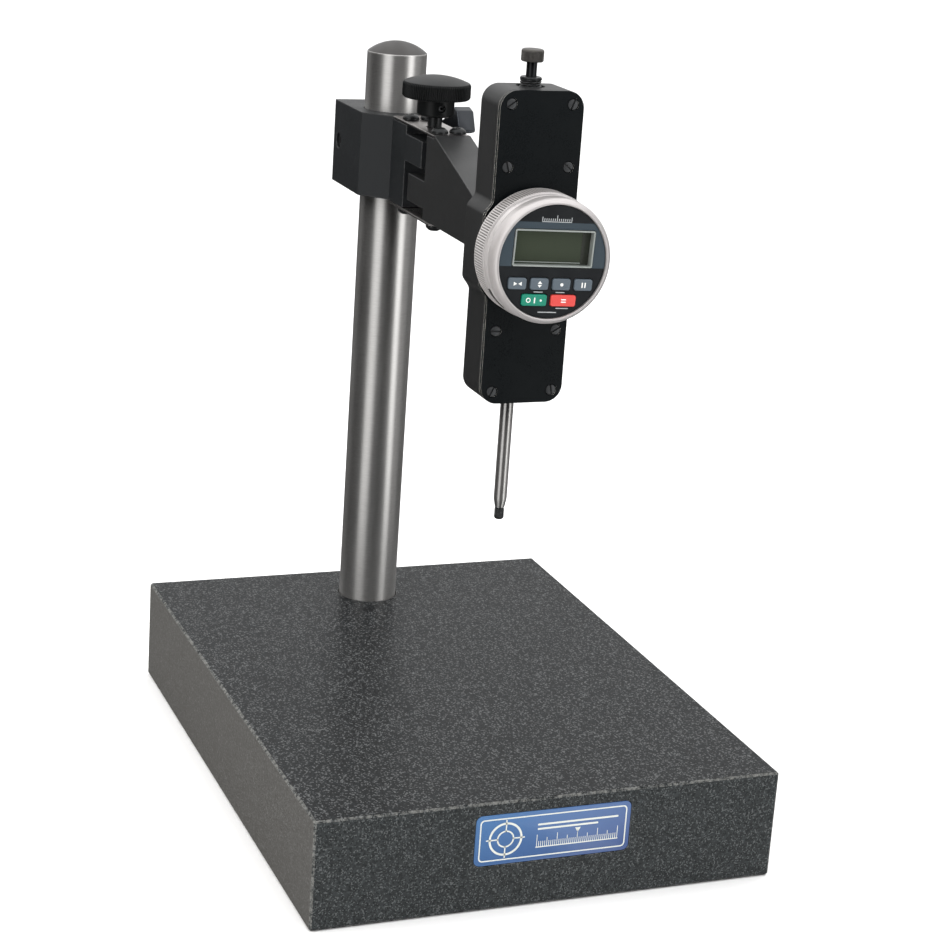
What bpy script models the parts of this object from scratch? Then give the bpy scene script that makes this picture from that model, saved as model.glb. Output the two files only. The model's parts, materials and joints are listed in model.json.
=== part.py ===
"""Digital height indicator on a granite base, with a split clamp and a flexure fine adjustment.

The frame is in metres with +Z up. The origin is the centre of the granite's underside, the display
faces -Y, and +X is to the right of someone reading it. Sizes below are millimetres; MM makes them metres.
"""

import math

import bmesh
import bpy
from mathutils import Vector

MM = 0.001
GAP = 0.3  # left between solids that touch

# Sides of a turned shape. A hexagonal socket needs a multiple of six.
LARGE, MEDIUM, SMALL, TINY = 48, 32, 18, 12

# Granite base and column
BASE_X, BASE_Y, BASE_Z = 228.6, 304.8, 53.5
BASE_CHAMFER = 1.0
COLUMN_Y = 116.9
COLUMN_R = 15.5
COLUMN_RIM_Z, COLUMN_TOP_Z = 350.7, 356.5
SOCKET_FLOOR_Z, SOCKET_CLEARANCE = 31.5, 0.4
COUNTERBORE_R, COUNTERBORE_Z = 17.0, 16.0
BOLT_R, BOLT_HEAD_R, BOLT_SOCKET_R = 6.0, 9.0, 5.7
BOLT_LOW_Z, BOLT_SOCKET_Z, BOLT_END_Z, COLUMN_THREAD_Z = 2.0, 7.0, 58.0, 61.0
WASHER_R, WASHER_T = 16.0, 2.5
LABEL_W, LABEL_H, LABEL_Z = 76.4, 24.8, 34.9
LABEL_RADIUS, LABEL_DEPTH = 3.0, 0.7

# Clamp block and flexure
CLAMP_HALF_X = 22.2
CLAMP_BACK_Y, CLAMP_SHOULDER_Y, CLAMP_FRONT_Y = 147.3, 103.5, 91.0
CLAMP_LOW_Z, CLAMP_TOP_Z = 278.5, 321.5
SLOT_HALF = 1.0
PINCH_Y, PINCH_Z, STUD_R = 139.2, 301.0, 3.7
ARM_HALF_X = 9.5
NECK_FRONT_Y, HEAD_BACK_Y, HEAD_STEP_Y = 70.3, 40.4, 30.7
SEAT_Z = 320.3
UPPER_TONGUE_Y, UPPER_TONGUE_Z = 46.5, (302.6, 316.0)
LOWER_TONGUE_Y, LOWER_TONGUE_Z = 64.1, (283.7, 297.4)
LEAF_T = 1.2
LEAF_TOP_Z = SEAT_Z + GAP + LEAF_T
LEAF_LOW_Z = CLAMP_LOW_Z - GAP - LEAF_T
LEAF_SCREW_X, LEAF_SCREW_REAR_Y, LEAF_SCREW_FRONT_Y = 4.7, 77.5, 35.7
LEAF_SCREW_R, LEAF_HEAD_R, LEAF_HEAD_H = 2.0, 4.2, 2.7
SLOPE_START_Y, SLOPE_END_Z = 30.0, 292.9

# Fine-adjustment knob
KNOB_Y, KNOB_R, HUB_R, FINE_SHAFT_R, FINE_THREAD_R = 56.0, 17.0, 9.3, 3.6, 3.0
HUB_LOW_Z, KNOB_LOW_Z, KNOB_RIM_Z, KNOB_TOP_Z = 327.5, 336.3, 344.0, 347.6
KNOB_BORE_TOP_Z, FINE_SHOULDER_Z = 339.5, 319.5
SET_SCREW_Z, SET_SCREW_R = 332.2, 1.6

# Clamp lever
LEVER_ANGLE = math.radians(26.0)
LEVER_HUB_R, LEVER_HUB_END_X = 7.5, 37.5
STUD_END_X, STUD_SOCKET_R, CAP_SCREW_R = -21.0, 1.9, 5.0

# Indicator housing
HOUSING_HALF_X, HOUSING_FLARE_X = 20.04, 23.8
HOUSING_BACK_Y, HOUSING_FRONT_Y = -54.1, -77.6
HOUSING_LOW_Z, HOUSING_TOP_Z = 217.0, 360.0
HOUSING_CORNER_R = 8.0
COVER_T = 2.3
CAVITY_HALF_X, CAVITY_BACK_Y, CAVITY_Z = 11.5, -56.6, (224.0, 354.0)
COVER_SCREW_X = 14.7
COVER_SCREW_ZS = (354.0, 326.0, 251.2, 222.7)
COVER_HEAD_R, COVER_SHANK_R = 2.4, 1.2
MOUNT_SCREW_X, MOUNT_SCREW_Z, MOUNT_SCREW_R = 7.3, 285.7, 1.5

# Spindle and what rides on it
SPINDLE_Y, SPINDLE_R, STEM_R = -62.0, 3.08, 2.4
SPINDLE_LOW_Z, SPINDLE_SHOULDER_Z = 161.5, 290.0
TIP_Z = 155.7
CAP_R, CAP_LOW_Z, CAP_TOP_Z = 5.1, 370.7, 376.6
COLLAR_R, COLLAR_Z, COLLAR_RECESS_R, COLLAR_RECESS_Z = 5.0, (350.0, 364.0), 6.5, 357.5
BUSH_TOP_Z = 228.0
ROD_X, ROD_R = 8.0, 1.2
CARRIER_Z = (244.0, 252.0)
SCALE_TOP_Z = 298.8  # clear of the collar when the spindle is at the top of its travel
READ_BOARD_Y, READ_BOARD_Z = (-71.5, -70.0), (262.0, 330.0)
SENSOR_Y, SENSOR_Z = (-70.5, -68.0), (288.0, 308.0)

# Display head, about its own axis
DIAL_Z = 288.3
DIAL_TURN = math.radians(2.3)  # the head stands slightly off level
CASE_R, KNURL_R = 28.5, 29.0
CASE_BACK_Y, KNURL_FRONT_Y, CASE_FRONT_Y = -80.0, -90.8, -95.0
BEZEL_FRONT_Y = -102.6
FACE_R, FACE_FRONT_Y, FACE_T = 25.4, -101.5, 1.6
HUB_TUBE_R, HUB_TUBE_BORE_R = 13.0, 9.0
WINDOW_Z, WINDOW_W, WINDOW_H = 6.0, 38.4, 16.6
KEY_PITCH, KEY_ROW_Z, KEY_W, KEY_H = 10.6, -10.0, 8.6, 5.2
BIG_KEY_X, BIG_KEY_Z, BIG_KEY_W, BIG_KEY_H = 7.0, -17.3, 12.0, 5.2
KEY_FRONT_Y, KEY_BACK_Y = -102.5, -98.9
CASE_WALL_R, CASE_FLOOR_T, RETAINER_R, RETAINER_T = 26.6, 2.2, 17.5, 1.6
BOARD_R, BOARD_Y, SWITCH_R, SWITCH_FRONT_Y = 25.3, (-93.4, -91.9), 2.0, -97.6
BATTERY_X, BATTERY_R, BATTERY_T = 10.0, 10.0, 3.2
TRAY_X, TRAY_Y, TRAY_HALF_Z, TRAY_FLOOR_Y = (-1.0, 26.0), (-91.4, -86.4), 10.8, -87.7
TAB_X, TAB_Y, TAB_HALF_Z = (25.0, 32.2), (-90.6, -87.4), 4.5
PORT_ANGLES, PORT_Y, PORT_HALF_W = (218.0, 230.0), (-91.5, -89.0), 2.2

for old in list(bpy.data.objects):
    bpy.data.objects.remove(old, do_unlink=True)


# ---------------------------------------------------------------- materials


def material(name, color, roughness, metallic=0.0):
    made = bpy.data.materials.new(name)
    made.use_nodes = True
    shader = made.node_tree.nodes["Principled BSDF"]
    shader.inputs["Base Color"].default_value = (*color, 1.0)
    shader.inputs["Roughness"].default_value = roughness
    shader.inputs["Metallic"].default_value = metallic
    made.diffuse_color = (*color, 1.0)
    return made


GRANITE = material("granite", (0.060, 0.062, 0.064), 0.45)
GROUND_STEEL = material("ground_steel", (0.62, 0.61, 0.60), 0.28, 1.0)
SPRING_STEEL = material("spring_steel", (0.55, 0.54, 0.53), 0.35, 1.0)
BLACK_STEEL = material("black_steel", (0.025, 0.026, 0.027), 0.40, 0.6)
BLACK_ANODISE = material("black_anodise", (0.030, 0.032, 0.034), 0.55, 0.3)
COVER_BLACK = material("cover_black", (0.012, 0.014, 0.015), 0.30)
KNOB_PLASTIC = material("knob_plastic", (0.030, 0.032, 0.030), 0.40)
DIAL_PAINT = material("dial_paint", (0.52, 0.48, 0.45), 0.45, 0.2)
FACE_PLASTIC = material("face_plastic", (0.020, 0.024, 0.030), 0.35)
FRAME_SILVER = material("frame_silver", (0.70, 0.72, 0.72), 0.30, 0.6)
LCD_GLASS = material("lcd_glass", (0.055, 0.065, 0.045), 0.15)
KEY_GREY = material("key_grey", (0.11, 0.13, 0.15), 0.50)
KEY_GREEN = material("key_green", (0.0, 0.33, 0.20), 0.45)
KEY_RED = material("key_red", (0.85, 0.07, 0.05), 0.45)
LABEL_BLUE = material("label_blue", (0.02, 0.10, 0.35), 0.35)
CIRCUIT_GREEN = material("circuit_green", (0.02, 0.16, 0.07), 0.50)
BRASS = material("brass", (0.60, 0.42, 0.16), 0.35, 1.0)


# ---------------------------------------------------------------- modelling helpers


def pivot(name, x=0.0, y=0.0, z=0.0, turn_y=0.0):
    """An empty on a joint's axis. Pieces parented to it are modelled about it."""
    empty = bpy.data.objects.new(name, None)
    empty.location = Vector((x, y, z)) * MM
    empty.rotation_euler = (0.0, turn_y, 0.0)
    bpy.context.scene.collection.objects.link(empty)
    return empty


def node(name, shape, finish, parent=None, smooth=35.0):
    """A named object from a bmesh in millimetres."""
    bmesh.ops.recalc_face_normals(shape, faces=shape.faces)
    bmesh.ops.scale(shape, vec=(MM, MM, MM), verts=shape.verts)
    mesh = bpy.data.meshes.new(name)
    shape.to_mesh(mesh)
    shape.free()
    mesh.shade_smooth()
    mesh.set_sharp_from_angle(angle=math.radians(smooth))
    made = bpy.data.objects.new(name, mesh)
    if finish:
        mesh.materials.append(finish)
    bpy.context.scene.collection.objects.link(made)
    made.parent = parent
    return made


def combine(target, other, operation):
    """A Boolean on target with the object other, which is kept as a hidden helper."""
    other.hide_render = True
    other.display_type = "WIRE"
    step = target.modifiers.new(other.name, "BOOLEAN")
    step.operation = operation
    step.object = other


def cut(target, name, shape):
    combine(target, node(f"cut_{name}", shape, None, target.parent), "DIFFERENCE")


def join(target, name, shape):
    combine(target, node(f"add_{name}", shape, None, target.parent), "UNION")


def in_space(axis, first, second, along):
    """A point from its two coordinates across the axis, in X, Y, Z order, and its place along it."""
    if axis == "x":
        return (along, first, second)
    if axis == "y":
        return (first, along, second)
    return (first, second, along)


def prism(outline, axis, low, high):
    """An outline across an axis, drawn out from low to high."""
    shape = bmesh.new()
    ends = [[shape.verts.new(in_space(axis, a, b, at)) for a, b in outline] for at in (low, high)]
    shape.faces.new(ends[0])
    shape.faces.new(ends[1])
    for i in range(len(outline)):
        j = (i + 1) % len(outline)
        shape.faces.new((ends[0][i], ends[0][j], ends[1][j], ends[1][i]))
    return shape


def box(x, y, z):
    """A box from three (low, high) pairs."""
    return prism([(x[0], y[0]), (x[1], y[0]), (x[1], y[1]), (x[0], y[1])], "z", z[0], z[1])


def rounded_rectangle(width, height, radius, centre=(0.0, 0.0), steps=4):
    """Outline of a rectangle with round corners."""
    points = []
    for quarter, (sx, sy) in enumerate(((1, 1), (-1, 1), (-1, -1), (1, -1))):
        for step in range(steps + 1):
            angle = (quarter + step / steps) * math.pi / 2
            x = centre[0] + sx * (width / 2 - radius) + radius * math.cos(angle)
            y = centre[1] + sy * (height / 2 - radius) + radius * math.sin(angle)
            points.append((x, y))
    return points


def hexagon_scale(angle):
    """How far a hexagon's side is at this angle, for a hexagon with corners at distance 1."""
    return math.cos(math.pi / 6) / math.cos(angle % (math.pi / 3) - math.pi / 6)


def turned(profile, axis, centre=(0.0, 0.0), segments=MEDIUM, ring=False, hexagonal=()):
    """A turned solid. The profile is (radius, place along the axis); ring closes it on itself.

    The profile's points whose numbers are in hexagonal go round a hexagon, as a socket does.
    """
    shape = bmesh.new()
    loops = []
    for number, (radius, along) in enumerate(profile):
        count = 1 if radius == 0 else segments
        loop = []
        for i in range(count):
            angle = 2 * math.pi * i / segments
            reach = radius * (hexagon_scale(angle) if number in hexagonal else 1.0)
            a = centre[0] + reach * math.cos(angle)
            b = centre[1] + reach * math.sin(angle)
            loop.append(shape.verts.new(in_space(axis, a, b, along)))
        loops.append(loop)
    pairs = list(zip(loops, loops[1:] + loops[:1])) if ring else list(zip(loops, loops[1:]))
    for low, high in pairs:
        for i in range(segments):
            j = (i + 1) % segments
            corners = []
            for corner in (low[i % len(low)], low[j % len(low)], high[j % len(high)], high[i % len(high)]):
                if corner not in corners:
                    corners.append(corner)
            shape.faces.new(corners)
    return shape


def rod(radius, axis, low, high, centre=(0.0, 0.0), segments=SMALL):
    return turned([(0, low), (radius, low), (radius, high), (0, high)], axis, centre, segments)


def dome(rim_radius, rim_at, top_at, steps):
    """Profile points of a shallow cap, from its rim to its top on the axis."""
    rise = top_at - rim_at
    sphere = (rim_radius**2 + rise**2) / (2 * rise)
    half = math.asin(rim_radius / sphere)
    angles = [half * (1 - i / steps) for i in range(steps)]
    points = [(sphere * math.sin(a), top_at - sphere * (1 - math.cos(a))) for a in angles]
    return points + [(0, top_at)]


# ---------------------------------------------------------------- base and column


def make_base():
    shape = box((-BASE_X / 2, BASE_X / 2), (-BASE_Y / 2, BASE_Y / 2), (0, BASE_Z))
    bmesh.ops.bevel(shape, geom=shape.edges, offset=BASE_CHAMFER, segments=1, affect="EDGES")
    granite = node("granite_base", shape, GRANITE)
    socket = COLUMN_R + SOCKET_CLEARANCE
    bore = BOLT_R + 1.0
    hole = [
        (0, -1),
        (COUNTERBORE_R, -1),
        (COUNTERBORE_R, COUNTERBORE_Z),
        (bore, COUNTERBORE_Z),
        (bore, SOCKET_FLOOR_Z),
        (socket, SOCKET_FLOOR_Z),
        (socket, BASE_Z + 1),
        (0, BASE_Z + 1),
    ]
    cut(granite, "column_socket", turned(hole, "z", (0, COLUMN_Y), MEDIUM))
    pocket = rounded_rectangle(LABEL_W + 2 * GAP, LABEL_H + 2 * GAP, LABEL_RADIUS + GAP, (0, LABEL_Z))
    front = -BASE_Y / 2
    cut(granite, "label_pocket", prism(pocket, "y", front - 1, front + LABEL_DEPTH))
    plate = rounded_rectangle(LABEL_W, LABEL_H, LABEL_RADIUS, (0, LABEL_Z))
    node("front_label", prism(plate, "y", front, front + LABEL_DEPTH - GAP), LABEL_BLUE)


def make_column():
    foot = SOCKET_FLOOR_Z + GAP
    thread = BOLT_R + GAP
    chamfer = 0.6
    profile = [(0, COLUMN_THREAD_Z + 2), (thread, COLUMN_THREAD_Z), (thread, foot)]
    profile += [(COLUMN_R - chamfer, foot), (COLUMN_R, foot + chamfer)]
    profile += dome(COLUMN_R, COLUMN_RIM_Z, COLUMN_TOP_Z, 4)
    node("column", turned(profile, "z", segments=LARGE), GROUND_STEEL, column_axis)

    washer_top = COUNTERBORE_Z - GAP
    washer_low = washer_top - WASHER_T
    hole = BOLT_R + 0.5
    ring = [(hole, washer_low), (WASHER_R, washer_low), (WASHER_R, washer_top), (hole, washer_top)]
    node("bolt_washer", turned(ring, "z", segments=SMALL, ring=True), BLACK_STEEL, column_axis)
    head_top = washer_low - GAP
    edge = 0.4
    bolt = [(0, BOLT_SOCKET_Z), (BOLT_SOCKET_R, BOLT_SOCKET_Z), (BOLT_SOCKET_R, BOLT_LOW_Z)]
    bolt += [(BOLT_HEAD_R - edge, BOLT_LOW_Z), (BOLT_HEAD_R, BOLT_LOW_Z + edge), (BOLT_HEAD_R, head_top)]
    bolt += [(BOLT_R, head_top), (BOLT_R, BOLT_END_Z), (0, BOLT_END_Z)]
    shape = turned(bolt, "z", segments=SMALL, hexagonal=(1, 2))
    node("column_bolt", shape, BLACK_STEEL, column_axis)


# ---------------------------------------------------------------- clamp block and flexure


def make_clamp():
    wide, narrow = CLAMP_HALF_X, ARM_HALF_X
    outline = [
        (-wide, CLAMP_BACK_Y),
        (-wide, CLAMP_SHOULDER_Y),
        (-narrow, CLAMP_FRONT_Y),
        (narrow, CLAMP_FRONT_Y),
        (wide, CLAMP_SHOULDER_Y),
        (wide, CLAMP_BACK_Y),
    ]
    block = node("clamp_block", prism(outline, "z", CLAMP_LOW_Z, CLAMP_TOP_Z), BLACK_ANODISE)
    inside = CLAMP_FRONT_Y + 3
    neck = [
        (inside, CLAMP_LOW_Z),
        (inside, SEAT_Z),
        (NECK_FRONT_Y, SEAT_Z),
        (NECK_FRONT_Y, UPPER_TONGUE_Z[1]),
        (UPPER_TONGUE_Y, UPPER_TONGUE_Z[1]),
        (UPPER_TONGUE_Y, UPPER_TONGUE_Z[0]),
        (NECK_FRONT_Y, UPPER_TONGUE_Z[0]),
        (NECK_FRONT_Y, CLAMP_LOW_Z),
    ]
    join(block, "neck", prism(neck, "x", -narrow, narrow))
    low, high = CLAMP_LOW_Z - 5, CLAMP_TOP_Z + 5
    cut(block, "column_bore", rod(COLUMN_R + GAP, "z", low, high, (0, COLUMN_Y), LARGE))
    cut(block, "split", box((-SLOT_HALF, SLOT_HALF), (COLUMN_Y, CLAMP_BACK_Y + 5), (low, high)))
    pinch = (PINCH_Y, PINCH_Z)
    cut(block, "pinch_thread", rod(STUD_R + GAP, "x", -wide - 5, -0.5, pinch))
    cut(block, "pinch_clearance", rod(STUD_R + 0.6, "x", 0.5, wide + 5, pinch))
    screw_hole = FINE_THREAD_R + GAP
    cut(block, "fine_thread", rod(screw_hole, "z", UPPER_TONGUE_Z[0] - 2, UPPER_TONGUE_Z[1] + 2, (0, KNOB_Y)))
    drill_leaf_holes(block, LEAF_SCREW_REAR_Y)


def drill_leaf_holes(piece, y):
    """Two screw holes from the top and two from below."""
    for side in (-1, 1):
        spans = (("top", SEAT_Z - 11, SEAT_Z + 5), ("low", CLAMP_LOW_Z - 5, CLAMP_LOW_Z + 11))
        for label, low, high in spans:
            name = f"{piece.name}_{label}_{'left' if side < 0 else 'right'}"
            cut(piece, name, rod(LEAF_SCREW_R + GAP, "z", low, high, (side * LEAF_SCREW_X, y), TINY))


def make_leaf(name, low, holes_for_knob):
    back, front = CLAMP_FRONT_Y - GAP, HEAD_STEP_Y + GAP
    leaf = node(name, box((-ARM_HALF_X, ARM_HALF_X), (front, back), (low, low + LEAF_T)), SPRING_STEEL)
    for y in (LEAF_SCREW_REAR_Y, LEAF_SCREW_FRONT_Y):
        for side in (-1, 1):
            place = (side * LEAF_SCREW_X, y)
            cut(leaf, f"{name}_{y:.0f}_{side}", rod(LEAF_SCREW_R + GAP, "z", low - 3, low + 4, place, TINY))
    if holes_for_knob:
        cut(leaf, f"{name}_fine_screw", rod(FINE_SHAFT_R + 0.7, "z", low - 3, low + 4, (0, KNOB_Y)))


def make_leaf_screws():
    head, shank, tall = LEAF_HEAD_R, LEAF_SCREW_R, LEAF_HEAD_H
    profile = [(0, tall - 1.4), (1.45, tall - 1.4), (1.45, tall), (2.4, tall - 0.25), (3.6, tall - 1.0)]
    profile += [(head, tall - 2.0), (head, 0), (shank, 0), (shank, -10.5), (0, -10.5)]
    levels = (("top", LEAF_TOP_Z + GAP, 1), ("bottom", LEAF_LOW_Z - GAP, -1))
    rows = (("rear", LEAF_SCREW_REAR_Y), ("front", LEAF_SCREW_FRONT_Y))
    for level, seat, up in levels:
        placed = [(radius, seat + up * along) for radius, along in profile]
        for row, y in rows:
            for side, name in ((-1, "left"), (1, "right")):
                shape = turned(placed, "z", (side * LEAF_SCREW_X, y), TINY, hexagonal=(1, 2))
                node(f"leaf_screw_{level}_{row}_{name}", shape, BLACK_STEEL)


def make_arm():
    front = HOUSING_BACK_Y + GAP
    side = [
        (front, CLAMP_LOW_Z),
        (HEAD_BACK_Y, CLAMP_LOW_Z),
        (HEAD_BACK_Y, LOWER_TONGUE_Z[0]),
        (LOWER_TONGUE_Y, LOWER_TONGUE_Z[0]),
        (LOWER_TONGUE_Y, LOWER_TONGUE_Z[1]),
        (HEAD_BACK_Y, LOWER_TONGUE_Z[1]),
        (HEAD_BACK_Y, SEAT_Z),
        (HEAD_STEP_Y, SEAT_Z),
        (HEAD_STEP_Y, LEAF_TOP_Z),
        (SLOPE_START_Y, LEAF_TOP_Z),
        (front, SLOPE_END_Z),
    ]
    arm = node("arm_head", prism(side, "x", -ARM_HALF_X, ARM_HALF_X), BLACK_ANODISE)
    drill_leaf_holes(arm, LEAF_SCREW_FRONT_Y)
    for end in (-1, 1):
        place = (end * MOUNT_SCREW_X, MOUNT_SCREW_Z)
        cut(arm, f"arm_mount_{end}", rod(MOUNT_SCREW_R + GAP, "y", front - 5, front + 12, place, TINY))


def make_knob():
    bore = FINE_SHAFT_R + GAP
    profile = [(0, KNOB_BORE_TOP_Z), (bore, KNOB_BORE_TOP_Z), (bore, HUB_LOW_Z)]
    profile += [(HUB_R - 0.9, HUB_LOW_Z), (HUB_R, HUB_LOW_Z + 0.9)]
    profile += [(HUB_R, KNOB_LOW_Z), (KNOB_R - 0.7, KNOB_LOW_Z), (KNOB_R, KNOB_LOW_Z + 0.7)]
    profile += [(KNOB_R, KNOB_RIM_Z - 0.5)]
    profile += dome(KNOB_R - 0.5, KNOB_RIM_Z, KNOB_TOP_Z, 3)
    knob = node("fine_knob", turned(profile, "z", segments=LARGE), KNOB_PLASTIC, knob_axis)
    cut(knob, "set_screw", rod(SET_SCREW_R + GAP, "y", -HUB_R - 2, -bore + 1, (0, SET_SCREW_Z), TINY))
    end = KNOB_BORE_TOP_Z - GAP
    screw = [(0, end), (FINE_SHAFT_R, end), (FINE_SHAFT_R, FINE_SHOULDER_Z)]
    screw += [(FINE_THREAD_R, FINE_SHOULDER_Z - 1)]
    tip = LOWER_TONGUE_Z[1] + GAP
    screw += [(FINE_THREAD_R, tip + 2), (1.5, tip), (0, tip)]
    node("fine_screw", turned(screw, "z", segments=SMALL), BLACK_STEEL, knob_axis)
    grub = [(0, -6.6), (0.9, -6.6), (0.9, -8.4), (SET_SCREW_R, -8.4), (SET_SCREW_R, -4.3), (0, -4.1)]
    shape = turned(grub, "y", (0, SET_SCREW_Z), TINY, hexagonal=(1, 2))
    node("knob_set_screw", shape, BLACK_STEEL, knob_axis)


# ---------------------------------------------------------------- clamp lever


def lever_bar():
    """The lever's bar: rounded sections from the hub out to a flared end with a chamfer."""
    sections = [
        (0.0, 29.5, 3.6, -5.6, 5.6),
        (12.0, 30.2, 3.6, -4.9, 4.9),
        (24.0, 31.4, 3.7, -4.7, 4.3),
        (34.0, 32.8, 4.3, -6.1, 5.4),
        (40.0, 33.6, 4.7, -7.7, 6.5),
        (42.6, 33.8, 4.7, -8.1, 3.9),
        (43.3, 33.9, 4.1, -7.5, 3.1),
    ]
    shape = bmesh.new()
    loops = []
    out = Vector((0.0, -math.cos(LEVER_ANGLE), math.sin(LEVER_ANGLE)))
    across = Vector((0.0, math.sin(LEVER_ANGLE), math.cos(LEVER_ANGLE)))
    for reach, x, half_x, below, above in sections:
        outline = rounded_rectangle(2 * half_x, above - below, 1.1, (x, (below + above) / 2), 2)
        loops.append([shape.verts.new(Vector((a, 0, 0)) + out * reach + across * b) for a, b in outline])
    for low, high in zip(loops, loops[1:]):
        for i in range(len(low)):
            j = (i + 1) % len(low)
            shape.faces.new((low[i], low[j], high[j], high[i]))
    shape.faces.new(loops[0])
    shape.faces.new(loops[-1])
    return shape


def make_lever():
    face = CLAMP_HALF_X + GAP
    end = LEVER_HUB_END_X
    bore = STUD_R + GAP
    hub = [(2.0, end), (6.5, end), (LEVER_HUB_R, end - 1), (LEVER_HUB_R, face + 1), (6.7, face), (bore, face)]
    hub += [(bore, end - 1.5), (2.0, end - 1.5)]
    handle = node("lever_handle", turned(hub, "x", ring=True), BLACK_STEEL, lever_axis)
    join(handle, "lever_bar", lever_bar())
    inner = rod(bore, "x", face - 2, end - 1.5, segments=MEDIUM)
    cut(handle, "lever_bore", inner)
    cut(handle, "lever_screw_hole", rod(2.0, "x", end - 3, end + 2))
    stud_end = end - 1.5 - GAP
    socket_floor, thread_floor = STUD_END_X + 2.5, 28.0
    stud = [(0, socket_floor), (STUD_SOCKET_R, socket_floor), (STUD_SOCKET_R, STUD_END_X)]
    stud += [(STUD_R, STUD_END_X), (STUD_R, stud_end), (STUD_SOCKET_R, stud_end)]
    stud += [(STUD_SOCKET_R, thread_floor), (0, thread_floor)]
    node("lever_stud", turned(stud, "x", segments=SMALL, hexagonal=(1, 2)), BLACK_STEEL, lever_axis)
    head = end + GAP
    screw_end = thread_floor + 1
    cap = [(0, screw_end), (1.6, screw_end), (1.6, head), (CAP_SCREW_R, head), (CAP_SCREW_R, head + 2.2)]
    cap += [(CAP_SCREW_R - 0.8, head + 2.8), (1.7, head + 2.8), (1.7, head + 1), (0, head + 1)]
    node("lever_cap_screw", turned(cap, "x", segments=SMALL, hexagonal=(6, 7)), BLACK_STEEL, lever_axis)


# ---------------------------------------------------------------- indicator housing


def housing_outline():
    """Front view of the housing: round corners, and a wider middle behind the display head."""
    half = HOUSING_HALF_X
    grow = HOUSING_FLARE_X - half
    right = []
    corner = HOUSING_CORNER_R
    centre_x, low_z, high_z = half - corner, HOUSING_LOW_Z + corner, HOUSING_TOP_Z - corner
    for i in range(5):
        angle = math.pi / 2 * (i / 4 - 1)
        right.append((centre_x + corner * math.cos(angle), low_z + corner * math.sin(angle)))
    for i in range(5):
        share = i / 4
        right.append((half + grow * (1 - math.cos(math.pi * share)) / 2, DIAL_Z - 23 + 7.5 * share))
    mirrored = [(x, 2 * DIAL_Z - z) for x, z in reversed(right[5:])]
    top = []
    for i in range(5):
        angle = math.pi / 2 * i / 4
        top.append((centre_x + corner * math.cos(angle), high_z + corner * math.sin(angle)))
    right += mirrored + top
    return right + [(-x, z) for x, z in reversed(right)]


def make_housing():
    shell_front = HOUSING_FRONT_Y + COVER_T + GAP
    outer = prism(housing_outline(), "y", shell_front, HOUSING_BACK_Y)
    shell = node("indicator_housing", outer, BLACK_ANODISE)
    room = box((-CAVITY_HALF_X, CAVITY_HALF_X), (shell_front - 2, CAVITY_BACK_Y), CAVITY_Z)
    cut(shell, "cavity", room)
    spindle = (0, SPINDLE_Y)
    cut(shell, "bush_bore", rod(5.3, "z", HOUSING_LOW_Z - 2, CAVITY_Z[0] + 2, spindle))
    collar_hole = [(0, CAVITY_Z[1] - 2), (COLLAR_R + GAP, CAVITY_Z[1] - 2), (COLLAR_R + GAP, COLLAR_RECESS_Z)]
    collar_hole += [(COLLAR_RECESS_R, COLLAR_RECESS_Z), (COLLAR_RECESS_R, HOUSING_TOP_Z + 2)]
    collar_hole += [(0, HOUSING_TOP_Z + 2)]
    cut(shell, "collar_hole", turned(collar_hole, "z", spindle, SMALL))
    for side in (-1, 1):
        place = (side * MOUNT_SCREW_X, MOUNT_SCREW_Z)
        hole = rod(MOUNT_SCREW_R + GAP, "y", CAVITY_BACK_Y - 2, HOUSING_BACK_Y + 2, place, TINY)
        cut(shell, f"shell_mount_{side}", hole)
        for z in COVER_SCREW_ZS:
            spot = (side * COVER_SCREW_X, z)
            hole = rod(COVER_SHANK_R + GAP, "y", shell_front - 2, shell_front + 8, spot, 8)
            cut(shell, f"shell_screw_{z:.0f}_{side}", hole)
        head = CAVITY_BACK_Y - GAP
        screw = [(0, head - 1), (1.3, head - 1), (1.3, head - 2), (2.75, head - 2), (2.75, head)]
        screw += [(MOUNT_SCREW_R, head), (MOUNT_SCREW_R, head + 12), (0, head + 12)]
        shape = turned(screw, "y", place, TINY, hexagonal=(1, 2))
        node(f"mount_screw_{'left' if side < 0 else 'right'}", shape, BLACK_STEEL)


def make_cover():
    back = HOUSING_FRONT_Y + COVER_T
    cover = node("cover_plate", prism(housing_outline(), "y", HOUSING_FRONT_Y, back), COVER_BLACK)
    centre = (0, DIAL_Z)
    tube_end = CASE_BACK_Y - 4.8
    boss = [
        (HUB_TUBE_BORE_R, back - 1),
        (20, back - 1),
        (20, CASE_BACK_Y + GAP),
        (HUB_TUBE_R, CASE_BACK_Y + GAP),
        (HUB_TUBE_R, tube_end),
        (HUB_TUBE_BORE_R, tube_end),
    ]
    join(cover, "boss", turned(boss, "y", centre, MEDIUM, ring=True))
    cut(cover, "hub_bore", rod(HUB_TUBE_BORE_R, "y", tube_end - 2, back + 2, centre, MEDIUM))
    head_front = HOUSING_FRONT_Y - 0.1
    seat = HOUSING_FRONT_Y + 1.5
    number = 0
    for z in COVER_SCREW_ZS:
        for side in (-1, 1):
            number += 1
            place = (side * COVER_SCREW_X, z)
            shank, head = COVER_SHANK_R + GAP, COVER_HEAD_R + GAP
            hole = [(0, HOUSING_FRONT_Y - 2), (head, HOUSING_FRONT_Y - 2), (head, seat), (shank, seat)]
            hole += [(shank, back + 2), (0, back + 2)]
            cut(cover, f"cover_screw_{number}", turned(hole, "y", place, TINY))
            top = seat - GAP
            profile = [(0, head_front), (COVER_HEAD_R, head_front), (COVER_HEAD_R, top), (COVER_SHANK_R, top)]
            profile += [(COVER_SHANK_R, top + 8), (0, top + 8)]
            screw = node(f"cover_screw_{number}", turned(profile, "y", place, TINY), BLACK_STEEL)
            cut(screw, f"slot_{number}", screw_slot(place, head_front, 35 * number))


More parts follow.
